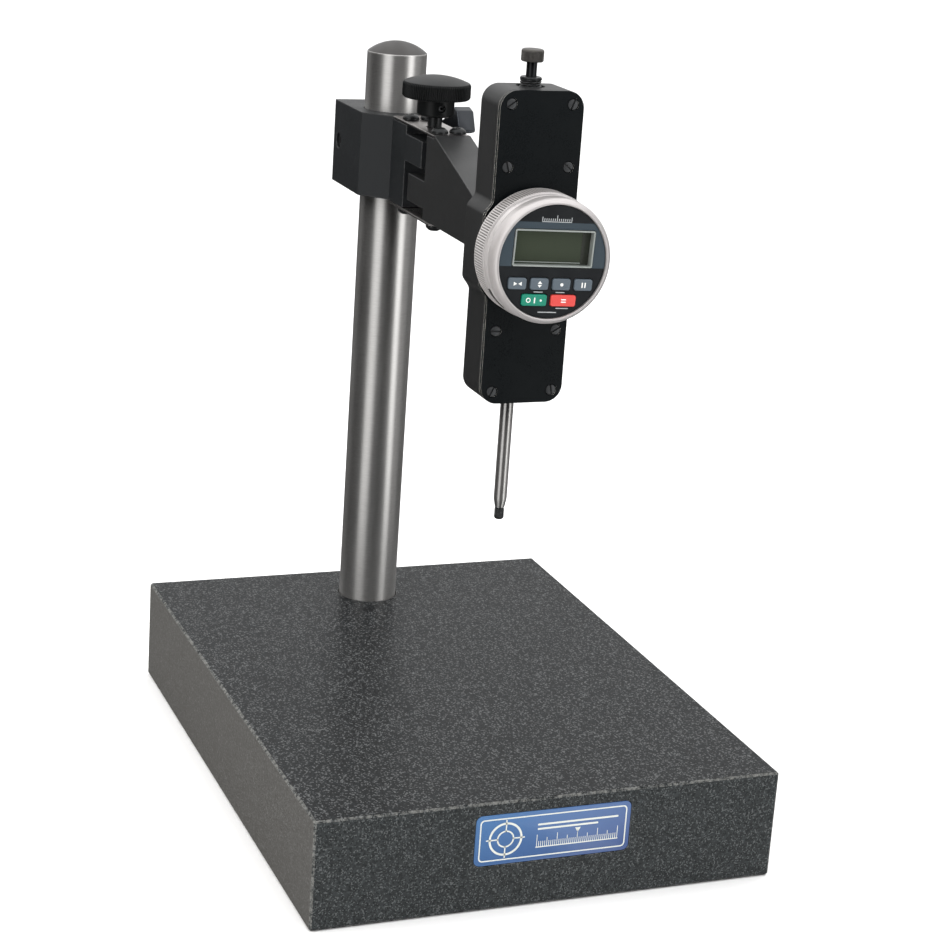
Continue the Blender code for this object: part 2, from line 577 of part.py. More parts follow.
def screw_slot(place, front, degrees):
    """A screwdriver slot, turned about the screw's own axis."""
    turn = math.radians(degrees)
    outline = []
    for a, b in ((-4, -0.4), (4, -0.4), (4, 0.4), (-4, 0.4)):
        x = place[0] + a * math.cos(turn) - b * math.sin(turn)
        z = place[1] + a * math.sin(turn) + b * math.cos(turn)
        outline.append((x, z))
    return prism(outline, "y", front - 2, front + 0.8)


# ---------------------------------------------------------------- spindle and measuring parts


def make_spindle():
    taper = SPINDLE_LOW_Z + 4.4
    profile = [(0, SPINDLE_LOW_Z + 4), (1.3, SPINDLE_LOW_Z + 4), (1.3, SPINDLE_LOW_Z), (2.2, SPINDLE_LOW_Z)]
    profile += [(SPINDLE_R, taper), (SPINDLE_R, SPINDLE_SHOULDER_Z), (STEM_R, SPINDLE_SHOULDER_Z + 0.7)]
    profile += [(STEM_R, CAP_TOP_Z - 1.7), (0, CAP_TOP_Z - 1.7)]
    node("spindle", turned(profile, "z"), GROUND_STEEL, spindle_axis)

    top = SPINDLE_LOW_Z - GAP
    contact = [(0, TIP_Z), (1.6, TIP_Z + 0.15), (2.3, TIP_Z + 1.0), (2.3, top)]
    contact += [(1.0, top), (1.0, top + 3.5), (0, top + 3.5)]
    node("contact_point", turned(contact, "z", segments=SMALL), BLACK_STEEL, spindle_axis)

    bore = STEM_R + GAP
    bored_to = CAP_TOP_Z - 1.4
    cap = [(0, bored_to), (bore, bored_to), (bore, CAP_LOW_Z)]
    cap += [(CAP_R - 0.5, CAP_LOW_Z), (CAP_R, CAP_LOW_Z + 0.5)]
    cap += [(CAP_R, CAP_TOP_Z - 0.6), (CAP_R - 0.6, CAP_TOP_Z), (0, CAP_TOP_Z)]
    node("lift_cap", turned(cap, "z"), BLACK_STEEL, spindle_axis)

    low, high = CARRIER_Z
    block = box((-10.8, 10.8), (-3.9, 2.0), CARRIER_Z)
    carrier = node("scale_carrier", block, BRASS, spindle_axis)
    cut(carrier, "carrier_bore", rod(SPINDLE_R + GAP, "z", low - 2, high + 2))
    cut(carrier, "carrier_guide", rod(ROD_R + 0.4, "z", low - 2, high + 2, (ROD_X, 0), TINY))
    strip = box((-3.5, 3.5), (-5.2, -4.2), (low + 2, SCALE_TOP_Z))
    node("encoder_scale", strip, FRAME_SILVER, spindle_axis)


def make_guides():
    bush = [(SPINDLE_R + GAP, HOUSING_LOW_Z + GAP), (COLLAR_R, HOUSING_LOW_Z + GAP), (COLLAR_R, BUSH_TOP_Z)]
    bush += [(SPINDLE_R + GAP, BUSH_TOP_Z)]
    node("lower_bushing", turned(bush, "z", segments=SMALL, ring=True), BRASS, spindle_axis)
    bore = STEM_R + GAP
    low, high = COLLAR_Z
    collar = [(bore, low), (COLLAR_R, low), (COLLAR_R, high - 0.6), (COLLAR_R - 0.6, high), (bore, high)]
    node("upper_collar", turned(collar, "z", ring=True), BLACK_STEEL, spindle_axis)
    low, high = CAVITY_Z[0] + GAP, CAVITY_Z[1] - GAP
    node("guide_rod", rod(ROD_R, "z", low, high, (ROD_X, 0), TINY), GROUND_STEEL, spindle_axis)
    make_return_spring(CAVITY_Z[0] + 1.5, CARRIER_Z[0] - GAP)
    board = node("read_head", box((-10.5, 10.5), READ_BOARD_Y, READ_BOARD_Z), CIRCUIT_GREEN)
    join(board, "sensor", box((-4, 4), SENSOR_Y, SENSOR_Z))


def make_return_spring(low, high):
    """A coil along Z beside the spindle."""
    wire, coil, turns, steps, around = 0.4, 1.9, 5, 8, 4
    shape = bmesh.new()
    loops = []
    count = turns * steps
    rise = (high - low - 2 * wire) / count
    for i in range(count + 1):
        angle = 2 * math.pi * i / steps
        outward = Vector((math.cos(angle), math.sin(angle), 0))
        centre = outward * coil + Vector((-ROD_X, 0, low + wire + rise * i))
        ring = []
        for k in range(around):
            spoke = 2 * math.pi * k / around
            point = centre + outward * wire * math.cos(spoke)
            point.z += wire * math.sin(spoke)
            ring.append(shape.verts.new(point))
        loops.append(ring)
    for first, second in zip(loops, loops[1:]):
        for k in range(around):
            j = (k + 1) % around
            shape.faces.new((first[k], first[j], second[j], second[k]))
    shape.faces.new(loops[0])
    shape.faces.new(loops[-1])
    node("return_spring", shape, SPRING_STEEL, spindle_axis)


# ---------------------------------------------------------------- display head


def make_dial_case():
    floor = CASE_BACK_Y - CASE_FLOOR_T
    profile = [
        (HUB_TUBE_R + 0.4, CASE_BACK_Y),
        (KNURL_R - 0.5, CASE_BACK_Y),
        (KNURL_R, CASE_BACK_Y - 0.5),
        (KNURL_R, KNURL_FRONT_Y + 0.4),
        (CASE_R, KNURL_FRONT_Y),
        (CASE_R, CASE_FRONT_Y),
        (CASE_WALL_R, CASE_FRONT_Y),
        (CASE_WALL_R, floor),
        (HUB_TUBE_R + 0.4, floor),
    ]
    case = node("dial_case", turned(profile, "y", segments=LARGE, ring=True), DIAL_PAINT, dial_axis)
    slot_y = (TRAY_Y[0] - 0.4, TRAY_Y[1] + 0.4)
    slot_half_z = TRAY_HALF_Z + 0.4
    cut(case, "tray_slot", box((20, 40), slot_y, (-slot_half_z, slot_half_z)))
    for number, degrees in enumerate(PORT_ANGLES):
        cut(case, f"port_{number}", radial_box(degrees, (25, 31), PORT_Y, PORT_HALF_W))
    ring_back = floor - GAP
    ring_front = ring_back - RETAINER_T
    inner = HUB_TUBE_R + GAP
    ring = [(inner, ring_back), (RETAINER_R, ring_back), (RETAINER_R, ring_front), (inner, ring_front)]
    node("dial_retainer", turned(ring, "y", ring=True), SPRING_STEEL, dial_axis)


def radial_box(degrees, reach, y, half_width):
    """A box pointing out from the Y axis at an angle from +X towards +Z."""
    turn = math.radians(degrees)
    near, far = reach
    outline = []
    for along, across in ((near, -half_width), (far, -half_width), (far, half_width), (near, half_width)):
        x = along * math.cos(turn) - across * math.sin(turn)
        z = along * math.sin(turn) + across * math.cos(turn)
        outline.append((x, z))
    return prism(outline, "y", y[0], y[1])


def make_bezel():
    back = CASE_FRONT_Y - GAP
    bore = FACE_R + GAP
    front = BEZEL_FRONT_Y
    profile = [(bore, back), (CASE_R, back), (CASE_R, front + 3.0), (28.1, front + 1.8)]
    profile += [(27.2, front + 0.5), (26.4, front), (bore, front)]
    node("bezel_ring", turned(profile, "y", segments=LARGE, ring=True), DIAL_PAINT, dial_axis)


def key_places():
    """Name, centre, size and finish of each key, in the display's own frame."""
    places = []
    for number in range(4):
        x = (number - 1.5) * KEY_PITCH
        places.append((f"key_grey_{number + 1}", (x, KEY_ROW_Z), (KEY_W, KEY_H), KEY_GREY))
    places.append(("key_green", (-BIG_KEY_X, BIG_KEY_Z), (BIG_KEY_W, BIG_KEY_H), KEY_GREEN))
    places.append(("key_red", (BIG_KEY_X, BIG_KEY_Z), (BIG_KEY_W, BIG_KEY_H), KEY_RED))
    return places


def make_face():
    back = FACE_FRONT_Y + FACE_T
    panel = node("face_panel", rod(FACE_R, "y", FACE_FRONT_Y, back, segments=LARGE), FACE_PLASTIC, dial_axis)
    centre = (0, WINDOW_Z)
    opening = rounded_rectangle(WINDOW_W + 2 * GAP, WINDOW_H + 2 * GAP, 0.9, centre, 2)
    cut(panel, "window", prism(opening, "y", FACE_FRONT_Y - 2, back + 2))
    frame_back = FACE_FRONT_Y + 3.1
    outer = prism(rounded_rectangle(WINDOW_W, WINDOW_H, 0.6, centre, 2), "y", FACE_FRONT_Y - 0.4, frame_back)
    frame = node("lcd_frame", outer, FRAME_SILVER, dial_axis)
    inner = rounded_rectangle(WINDOW_W - 1.4, WINDOW_H - 1.4, 0.3, centre, 2)
    cut(frame, "frame_opening", prism(inner, "y", -104, frame_back + 2))
    glass_front = frame_back + GAP
    glass = box((-19.6, 19.6), (glass_front, glass_front + 4), (WINDOW_Z - 9.3, WINDOW_Z + 9.3))
    node("lcd_module", glass, LCD_GLASS, dial_axis)
    for name, (x, z), (width, height), finish in key_places():
        hole = rounded_rectangle(width + 2 * GAP, height + 2 * GAP, 1.0, (x, z), 2)
        cut(panel, f"{name}_hole", prism(hole, "y", FACE_FRONT_Y - 2, back + 2))
        cap = prism(rounded_rectangle(width, height, 0.8, (x, z), 3), "y", KEY_FRONT_Y, KEY_BACK_Y)
        node(name, cap, finish, dial_axis)


def make_electronics():
    board_disc = rod(BOARD_R, "y", *BOARD_Y, segments=MEDIUM)
    board = node("circuit_board", board_disc, CIRCUIT_GREEN, dial_axis)
    for name, place, _, _ in key_places():
        join(board, f"{name}_switch", rod(SWITCH_R, "y", SWITCH_FRONT_Y, BOARD_Y[0] + 0.4, place, 8))
    tray = node("battery_tray", box(TRAY_X, TRAY_Y, (-TRAY_HALF_Z, TRAY_HALF_Z)), FACE_PLASTIC, dial_axis)
    join(tray, "tray_tab", box(TAB_X, TAB_Y, (-TAB_HALF_Z, TAB_HALF_Z)))
    pocket = rod(BATTERY_R + GAP, "y", TRAY_Y[0] - 2, TRAY_FLOOR_Y, (BATTERY_X, 0), MEDIUM)
    cut(tray, "battery_pocket", pocket)
    back = TRAY_FLOOR_Y - GAP
    front = back - BATTERY_T
    coin = [(0, back), (BATTERY_R - 1.2, back), (BATTERY_R, back - 0.6), (BATTERY_R, front), (0, front)]
    node("battery", turned(coin, "y", (BATTERY_X, 0), MEDIUM), FRAME_SILVER, dial_axis)


# ---------------------------------------------------------------- assembly

column_axis = pivot("column_axis", y=COLUMN_Y)
knob_axis = pivot("knob_axis", y=KNOB_Y)
lever_axis = pivot("lever_axis", y=PINCH_Y, z=PINCH_Z)
spindle_axis = pivot("spindle_axis", y=SPINDLE_Y)
dial_axis = pivot("dial_axis", z=DIAL_Z, turn_y=DIAL_TURN)

make_base()
make_column()
make_clamp()
make_leaf("top_leaf_spring", SEAT_Z + GAP, True)
make_leaf("bottom_leaf_spring", LEAF_LOW_Z, False)
make_leaf_screws()
make_arm()
make_knob()
make_lever()
make_housing()
make_cover()
make_spindle()
make_guides()
make_dial_case()
make_bezel()
make_face()
make_electronics()
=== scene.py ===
import json
import math

import bmesh
import bpy
from mathutils import Matrix, Vector


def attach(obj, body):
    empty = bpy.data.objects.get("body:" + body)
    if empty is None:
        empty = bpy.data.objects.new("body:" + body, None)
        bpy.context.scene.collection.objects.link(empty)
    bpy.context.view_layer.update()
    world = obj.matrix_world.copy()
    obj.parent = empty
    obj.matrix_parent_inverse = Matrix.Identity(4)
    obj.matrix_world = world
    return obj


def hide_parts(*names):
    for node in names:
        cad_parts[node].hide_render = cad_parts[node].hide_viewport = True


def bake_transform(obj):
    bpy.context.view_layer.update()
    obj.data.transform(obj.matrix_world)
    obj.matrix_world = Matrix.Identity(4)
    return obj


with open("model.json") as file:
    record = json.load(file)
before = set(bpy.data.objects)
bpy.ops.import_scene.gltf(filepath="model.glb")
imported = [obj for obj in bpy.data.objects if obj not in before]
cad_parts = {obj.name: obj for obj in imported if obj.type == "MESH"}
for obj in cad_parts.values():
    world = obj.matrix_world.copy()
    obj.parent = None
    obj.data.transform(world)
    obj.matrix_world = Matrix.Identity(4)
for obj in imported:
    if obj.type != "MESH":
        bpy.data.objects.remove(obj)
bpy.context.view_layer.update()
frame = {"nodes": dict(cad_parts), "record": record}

# Sizes are millimetres in the model's own frame, as in the CAD; MM makes them metres.
MM = 0.001
GAP = 0.3

BASE_X, BASE_Y, BASE_Z = 228.6, 304.8, 53.5
COLUMN_Y, COLUMN_R, COLUMN_RIM_Z, COLUMN_TOP_Z = 116.9, 15.5, 350.7, 356.5
SOCKET_FLOOR_Z = 31.5
LABEL_W, LABEL_H, LABEL_Z, LABEL_RADIUS, LABEL_DEPTH = 76.4, 24.8, 34.9, 3.0, 0.7

CLAMP_HALF_X, CLAMP_BACK_Y, CLAMP_SHOULDER_Y, CLAMP_FRONT_Y = 22.2, 147.3, 103.5, 91.0
CLAMP_LOW_Z, CLAMP_TOP_Z = 278.5, 321.5
PINCH_Y, PINCH_Z, STUD_R = 139.2, 301.0, 3.7
ARM_HALF_X, NECK_FRONT_Y, HEAD_BACK_Y, HEAD_STEP_Y = 9.5, 70.3, 40.4, 30.7
SEAT_Z, LEAF_T, LEAF_SCREW_X = 320.3, 1.2, 4.7
LEAF_TOP_Z = SEAT_Z + GAP + LEAF_T
LEAF_LOW_Z = CLAMP_LOW_Z - GAP - LEAF_T
LEAF_SCREW_REAR_Y, LEAF_SCREW_FRONT_Y, LEAF_HOLE_R = 77.5, 35.7, 2.3
UPPER_TONGUE_Z, UPPER_TONGUE_Y = (302.6, 316.0), 46.5
LOWER_TONGUE_Z, LOWER_TONGUE_Y = (283.7, 297.4), 64.1
KNOB_Y, SET_SCREW_Z, LEVER_ANGLE, LEVER_HUB_END_X = 56.0, 332.2, math.radians(26.0), 37.5

HOUSING_HALF_X, HOUSING_FLARE_X, HOUSING_CORNER_R = 20.04, 23.8, 8.0
HOUSING_BACK_Y, HOUSING_FRONT_Y, HOUSING_LOW_Z, HOUSING_TOP_Z = -54.1, -77.6, 217.0, 360.0
COVER_T = 2.3
COVER_SCREW_X, COVER_SCREW_ZS = 14.7, (354.0, 326.0, 251.2, 222.7)
SPINDLE_Y, STEM_Z = -62.0, 290.0
MOUNT_SCREW_X, MOUNT_SCREW_Z, MOUNT_HOLE_R = 7.3, 285.7, 1.8

DIAL_Z, DIAL_TURN = 288.3, math.radians(2.3)
DIAL = (0.0, 0.0, DIAL_Z)
FACE_FRONT_Y, FACE_T = -101.5, 1.6
WINDOW_Z, WINDOW_W, WINDOW_H = 6.0, 38.4, 16.6
BAND_Z = (-2.4, 17.6)
KEY_COLUMNS, KEY_ROWS = [(number - 1.5) * 10.6 for number in range(4)], (-10.0, -17.3)

# Studio: brightness overhead and all round, then (direction, half width, feather, low, high, brightness)
OVERHEAD, ROOM_LEVEL = 1.55, 0.03
SOFT_BOXES = (
    ((-0.815, -0.580), 16.0, 6.0, -0.8, 0.75, 1.25),
    ((0.648, -0.761), 11.0, 4.5, -0.8, 0.75, 2.0),
    ((0.95, -0.31), 16.0, 8.0, -0.8, 0.75, 0.30),
    ((0.36, 0.93), 62.0, 14.0, 0.02, 0.8, 0.75),
)

SLOT_OF = {part["node"]: part["material_slot"] for part in frame["record"]["subparts"]}


# ---- materials


class Finish:
    """One procedural material. Its textures are laid out in metres from the piece's own origin."""

    def __init__(self, name, **shader):
        self.material = bpy.data.materials.new(name)
        self.material.use_nodes = True
        self.tree = self.material.node_tree
        self.shader = self.tree.nodes["Principled BSDF"]
        self.coords = self.add("ShaderNodeTexCoord").outputs["Object"]
        for key, value in shader.items():
            self.shader.inputs[key.replace("_", " ")].default_value = value

    def add(self, kind, inputs=None, **settings):
        node = self.tree.nodes.new(kind)
        for key, value in settings.items():
            setattr(node, key, value)
        for key, value in (inputs or {}).items():
            self.feed(node.inputs[key], value)
        return node

    def feed(self, socket, value):
        """Links another node's output to a socket, or sets the socket's constant."""
        if isinstance(value, bpy.types.NodeSocket):
            self.tree.links.new(value, socket)
        else:
            socket.default_value = value

    def into(self, key, socket):
        self.tree.links.new(socket, self.shader.inputs[key])

    def finished(self, color, roughness=None):
        self.into("Base Color", color)
        if roughness:
            self.into("Roughness", roughness)
        return self.material

    def stretched(self, scale):
        mapping = self.add("ShaderNodeMapping", {"Vector": self.coords, "Scale": scale})
        return mapping.outputs["Vector"]

    def noise(self, scale, detail=3.0, rough=0.5, stretch=(1, 1, 1)):
        inputs = {"Vector": self.stretched(stretch), "Scale": scale, "Detail": detail, "Roughness": rough}
        return self.add("ShaderNodeTexNoise", inputs).outputs["Fac"]

    def cells(self, scale, feature="F1"):
        return self.add("ShaderNodeTexVoronoi", {"Vector": self.coords, "Scale": scale}, feature=feature)

    def math(self, operation, *values, clamp=False):
        node = self.add("ShaderNodeMath", operation=operation, use_clamp=clamp)
        for socket, value in zip(node.inputs, values):
            self.feed(socket, value)
        return node.outputs[0]

    def plus(self, first, second):
        return self.math("ADD", first, second)

    def times(self, first, second, clamp=False):
        return self.math("MULTIPLY", first, second, clamp=clamp)

    def dot(self, first, second):
        node = self.add("ShaderNodeVectorMath", operation="DOT_PRODUCT")
        self.feed(node.inputs[0], first)
        self.feed(node.inputs[1], second)
        return node.outputs["Value"]

    def span(self, value, low, high, to_low=0.0, to_high=1.0):
        inputs = {"Value": value, "From Min": low, "From Max": high, "To Min": to_low, "To Max": to_high}
        return self.add("ShaderNodeMapRange", inputs).outputs["Result"]

    def mix(self, share, first, second, blend="MIX"):
        """Two colours, each a tuple or a socket, in the colour version of the Mix node."""
        node = self.add("ShaderNodeMix", data_type="RGBA", blend_type=blend)
        self.feed(node.inputs[0], share)
        for number, value in ((6, first), (7, second)):
            self.feed(node.inputs[number], (*value, 1.0) if isinstance(value, tuple) else value)
        return node.outputs[2]

    def axes(self):
        parts = self.add("ShaderNodeSeparateXYZ", {"Vector": self.coords}).outputs
        return parts["X"], parts["Y"], parts["Z"]

    def normal(self):
        return self.add("ShaderNodeNewGeometry").outputs["Normal"]

    def lighter_edge(self, radius):
        """1 along outer and inner edges, 0 on open faces."""
        soft = self.add("ShaderNodeBevel", {"Radius": radius * MM}, samples=4).outputs["Normal"]
        return self.span(self.math("SUBTRACT", 1.0, self.dot(soft, self.normal())), 0.01, 0.12)

    def facing(self, direction):
        """1 where the surface leans towards a direction, 0 where it does not."""
        return self.span(self.dot(self.normal(), direction), 0.15, 0.45)

    def bump(self, height, distance, strength=1.0):
        inputs = {"Height": height, "Distance": distance * MM, "Strength": strength}
        old = self.shader.inputs["Normal"].links
        if old:
            inputs["Normal"] = old[0].from_socket
        self.into("Normal", self.add("ShaderNodeBump", inputs).outputs["Normal"])


def surface(name, color, rough, metal=0.0, grain=4000, depth=0.01, stretch=(1, 1, 1), vary=0.15,
            edge_wear_and_highlight=None, highlight_side=None, rough_vary=0.08, **shader):
    """A plain finish with fine grain, a slow change of tone and roughness, and lighter edges: edge wear on
    most finishes, a painted highlight on the cover's and the lever's.
    The edge colour comes with its share and the radius in millimetres within which an edge shows it; an
    optional side keeps the lighter edges to those facing that way, as a painted highlight."""
    f = Finish(name, Metallic=metal, **shader)
    slow, fine = f.noise(60, 4.0, 0.6), f.noise(grain, 3.0, 0.6, stretch)
    blend = f.plus(f.times(slow, 0.6), f.times(fine, 0.4))
    color = f.mix(1.0, color, f.math("MULTIPLY_ADD", blend, vary * 2, 1.0 - vary), "MULTIPLY")
    if edge_wear_and_highlight:
        lighter_edge, share, radius = edge_wear_and_highlight
        edge = f.times(f.lighter_edge(radius), f.span(f.noise(900, 3.0, 0.7), 0.35, 0.65))
        edge = f.times(edge, share, clamp=True)
        # Kept to edges facing one side: there the lighter edges are a painted highlight from the light on
        # that side.
        if highlight_side:
            edge = f.times(edge, f.facing(highlight_side))
        color = f.mix(edge, color, lighter_edge)
    f.bump(fine, depth)
    smoothest, roughest = max(rough - rough_vary, 0.02), rough + rough_vary
    return f.finished(color, f.span(f.plus(slow, fine), 0.6, 1.4, smoothest, roughest))


def granite():
    """Black fine-grained granite: dark crystals, grey ones and a few light specks, lapped on top."""
    f = Finish("granite", Specular_IOR_Level=0.1)
    crystals = f.cells(720)
    value = f.add("ShaderNodeSeparateColor", {"Color": crystals.outputs["Color"]}).outputs["Red"]
    tiny = f.cells(1500)
    flecks = f.add("ShaderNodeSeparateColor", {"Color": tiny.outputs["Color"]}).outputs["Green"]
    cloud = f.noise(14, 4.0, 0.6)
    facing = f.add("ShaderNodeSeparateXYZ", {"Vector": f.normal()}).outputs
    across, along, up = [f.math("ABSOLUTE", facing[name]) for name in "XYZ"]
    side = f.span(up, 0.9, 0.5)
    painted_light_x_faces = f.span(across, 0.8, 0.95)
    ground = f.mix(f.span(value, 0.0, 1.0), (0.009, 0.010, 0.011), (0.044, 0.049, 0.052))
    ground = f.mix(f.span(cloud, 0.3, 0.7, 0.0, 0.22), ground, (0.055, 0.058, 0.06))
    ground = f.mix(side, f.mix(1.0, ground, (0.30, 0.31, 0.32), "MULTIPLY"), ground)
    bright = f.mix(side, (0.118, 0.122, 0.124), (0.17, 0.178, 0.18))
    color = f.mix(f.times(f.span(flecks, 0.80, 0.88), 0.75), ground, bright)
    color = f.mix(f.span(flecks, 0.26, 0.16), color, (0.004, 0.0045, 0.005))
    color = f.mix(f.times(side, 0.45), color, (0.040, 0.044, 0.044))
    # Painted light: faces turned along x are made lighter and warmer, standing for the lamp on the left side,
    # not for a different cut.
    color = f.mix(f.times(painted_light_x_faces, 0.55), color, (0.110, 0.104, 0.097))
    flattest = f.math("MAXIMUM", across, f.math("MAXIMUM", along, up))
    chipped = f.span(f.noise(420, 5.0, 0.75), 0.42, 0.60, 0.0, 0.75)
    edge = f.times(f.span(flattest, 0.985, 0.93), chipped)
    color = f.mix(edge, color, (0.19, 0.19, 0.18))
    f.bump(f.plus(value, f.noise(2500, 3.0, 0.6)), 0.012, 0.6)
    f.bump(f.noise(180, 4.0, 0.6), 0.02, 0.3)
    roughness = f.plus(f.span(side, 0.0, 1.0, 0.34, 0.60), f.span(value, 0.0, 1.0, -0.05, 0.07))
    return f.finished(color, roughness)


def ground_steel(name, end_z, end_color):
    """Cylindrically ground steel: fine rings and faint blotches, and another tone above end_z."""
    f = Finish(name, Metallic=1.0, Anisotropic=0.85, Anisotropic_Rotation=0.25)
    f.into("Tangent", f.add("ShaderNodeTangent", direction_type="RADIAL", axis="Z").outputs["Tangent"])
    rings = f.noise(260, 4.0, 0.7, (1, 1, 24))
    fine = f.noise(900, 3.0, 0.7, (1, 1, 14))
    stain = f.noise(30, 4.0, 0.65, (1, 1, 0.4))
    color = f.mix(f.span(rings, 0.3, 0.7), (0.50, 0.49, 0.475), (0.66, 0.65, 0.635))
    color = f.mix(f.span(stain, 0.55, 0.8, 0.0, 0.35), color, (0.44, 0.415, 0.39))
    above = f.span(f.axes()[2], (end_z - 0.1) * MM, (end_z + 0.1) * MM)
    color = f.mix(above, color, end_color)
    f.bump(f.plus(rings, fine), 0.004, 0.7)
    roughness = f.plus(f.span(rings, 0.25, 0.75, 0.34, 0.44), f.span(stain, 0.4, 0.8, 0.0, 0.08))
    return f.finished(color, roughness)


def printed_face():
    """The display's overlay: satin black with a slate band behind the window."""
    f = Finish("face_overlay", Specular_IOR_Level=0.3)
    height = f.axes()[2]
    low, high = [z * MM for z in BAND_Z]
    band = f.times(f.math("GREATER_THAN", height, low), f.math("LESS_THAN", height, high))
    grain, slow = f.noise(5200, 2.0, 0.5), f.noise(90, 3.0, 0.6)
    color = f.mix(band, (0.0045, 0.006, 0.0075), (0.035, 0.051, 0.064))
    color = f.mix(1.0, color, f.span(grain, 0.3, 0.7, 0.9, 1.1), "MULTIPLY")
    color = f.mix(f.span(slow, 0.45, 0.8, 0.0, 0.12), color, (0.04, 0.045, 0.05))
    f.bump(grain, 0.012, 0.5)
    return f.finished(color, f.span(slow, 0.3, 0.7, 0.30, 0.44))


def glass():
    """Reflective liquid-crystal glass, switched off: olive, with a faint grid of cells under it."""
    f = Finish("lcd_glass", Roughness=0.12, Coat_Weight=0.6, Coat_Roughness=0.04, IOR=1.5)
    columns, rows = [
        f.add("ShaderNodeTexWave", {"Vector": f.stretched(along), "Scale": 420.0, "Distortion": 0.0},
              bands_direction=axis).outputs["Fac"]
        for axis, along in (("X", (1, 0, 0)), ("Z", (0, 0, 1)))
    ]
    grid = f.span(f.times(columns, rows), 0.0, 1.0, 0.0, 0.25)
    color = f.mix(grid, (0.044, 0.054, 0.036), (0.060, 0.071, 0.049))
    color = f.mix(f.span(f.noise(40, 2.0), 0.35, 0.7, 0.0, 0.3), color, (0.036, 0.043, 0.030))
    f.bump(f.noise(120, 2.0), 0.01, 0.4)
    return f.finished(color)


def knurled_metal():
    """The dial's metal where it is knurled, with painted shade in the knurl's grooves and inside the cut
    openings.
    """
    f = Finish("knurled_metal", Metallic=0.55)
    x, y, z = f.axes()
    reach = f.math("SQRT", f.plus(f.times(x, x), f.times(z, z)))
    knurled = f.math("GREATER_THAN", y, -90.7 * MM)
    groove_shade = f.times(knurled, f.span(reach, 28.93 * MM, 28.66 * MM, 0.0, 0.9))
    tone = f.noise(70, 4.0, 0.6)
    color = f.mix(f.span(tone, 0.3, 0.7), (0.54, 0.515, 0.51), (0.62, 0.595, 0.59))
    # Painted shade in the knurl's grooves.
    color = f.mix(groove_shade, color, (0.10, 0.095, 0.09))
    # Painted shade: everything inside radius 27.9 mm, the cut openings, the gap groove and the inner wall, is
    # made near black.
    color = f.mix(f.span(reach, 28.15 * MM, 27.9 * MM), color, (0.03, 0.03, 0.03))
    f.bump(f.noise(4200, 3.0, 0.6), 0.006)
    return f.finished(color, f.span(tone, 0.3, 0.7, 0.34, 0.46))


def board():
    """Green circuit board with lighter tracks."""
    f = Finish("circuit_board", Roughness=0.45, Coat_Weight=0.3, Coat_Roughness=0.2)
    tracks = f.cells(420, "DISTANCE_TO_EDGE").outputs["Distance"]
    line = f.span(tracks, 0.10, 0.04)
    color = f.mix(line, (0.012, 0.10, 0.045), (0.05, 0.26, 0.12))
    pads = f.cells(700).outputs["Distance"]
    color = f.mix(f.span(pads, 0.14, 0.1), color, (0.62, 0.55, 0.35))
    f.bump(line, 0.03)
    return f.finished(color)


def label_ground():
    """Screen-printed blue on foil, a little lighter towards its upper left."""
    f = Finish("label_blue", Coat_Weight=0.5, Coat_Roughness=0.18)
    x, _, z = f.axes()
    across = f.plus(f.span(x, -40 * MM, 40 * MM, 0.9, 0.0), f.span(z, -14 * MM, 14 * MM, 0.0, 0.5))
    mottle = f.noise(2600, 3.0, 0.6)
    color = f.mix(f.times(across, 0.7, clamp=True), (0.014, 0.050, 0.20), (0.065, 0.17, 0.36))
    color = f.mix(f.span(mottle, 0.5, 0.9, 0.0, 0.3), color, (0.08, 0.16, 0.38))
    f.bump(mottle, 0.008)
    return f.finished(color, f.span(mottle, 0.3, 0.7, 0.34, 0.46))


GRANITE = granite()
GROUND = ground_steel("ground_steel", COLUMN_RIM_Z + 0.2, (0.095, 0.092, 0.09))
SPINDLE = ground_steel("spindle_steel", STEM_Z + 0.4, (0.035, 0.036, 0.038))
FACE = printed_face()
LCD = glass()
KNURLED = knurled_metal()
BOARD = board()
LABEL = label_ground()
WORN_GREY = (0.20, 0.20, 0.20)
SPRING = surface("spring_steel", (0.52, 0.495, 0.485), 0.30, 1.0, 1400, 0.004, (14, 1, 1), 0.12,
                 edge_wear_and_highlight=((0.80, 0.79, 0.78), 0.6, 0.5), rough_vary=0.07)
BLACK_STEEL = surface("black_steel", (0.018, 0.019, 0.020), 0.30, 0.6, 2600, 0.004, vary=0.25,
                      edge_wear_and_highlight=((0.34, 0.34, 0.34), 0.5, 0.35))
# The lever's lighter bluish edges are a painted highlight along its ridges, not wear.
LEVER_BLACK = surface("lever_black", (0.030, 0.033, 0.038), 0.36, 0.6, 1900, 0.006, vary=0.25,
                      edge_wear_and_highlight=((0.40, 0.45, 0.52), 0.8, 0.8))
ANODISE = surface("black_anodise", (0.018, 0.0185, 0.019), 0.42, 0.2, 3600, 0.010, vary=0.18,
                  edge_wear_and_highlight=(WORN_GREY, 0.55, 0.6), Specular_IOR_Level=0.4)
CAST_BLACK = surface("clamp_black", (0.013, 0.0145, 0.016), 0.45, 0.2, 1500, 0.03, vary=0.2,
                     edge_wear_and_highlight=(WORN_GREY, 0.5, 0.8), rough_vary=0.1, Specular_IOR_Level=0.4)
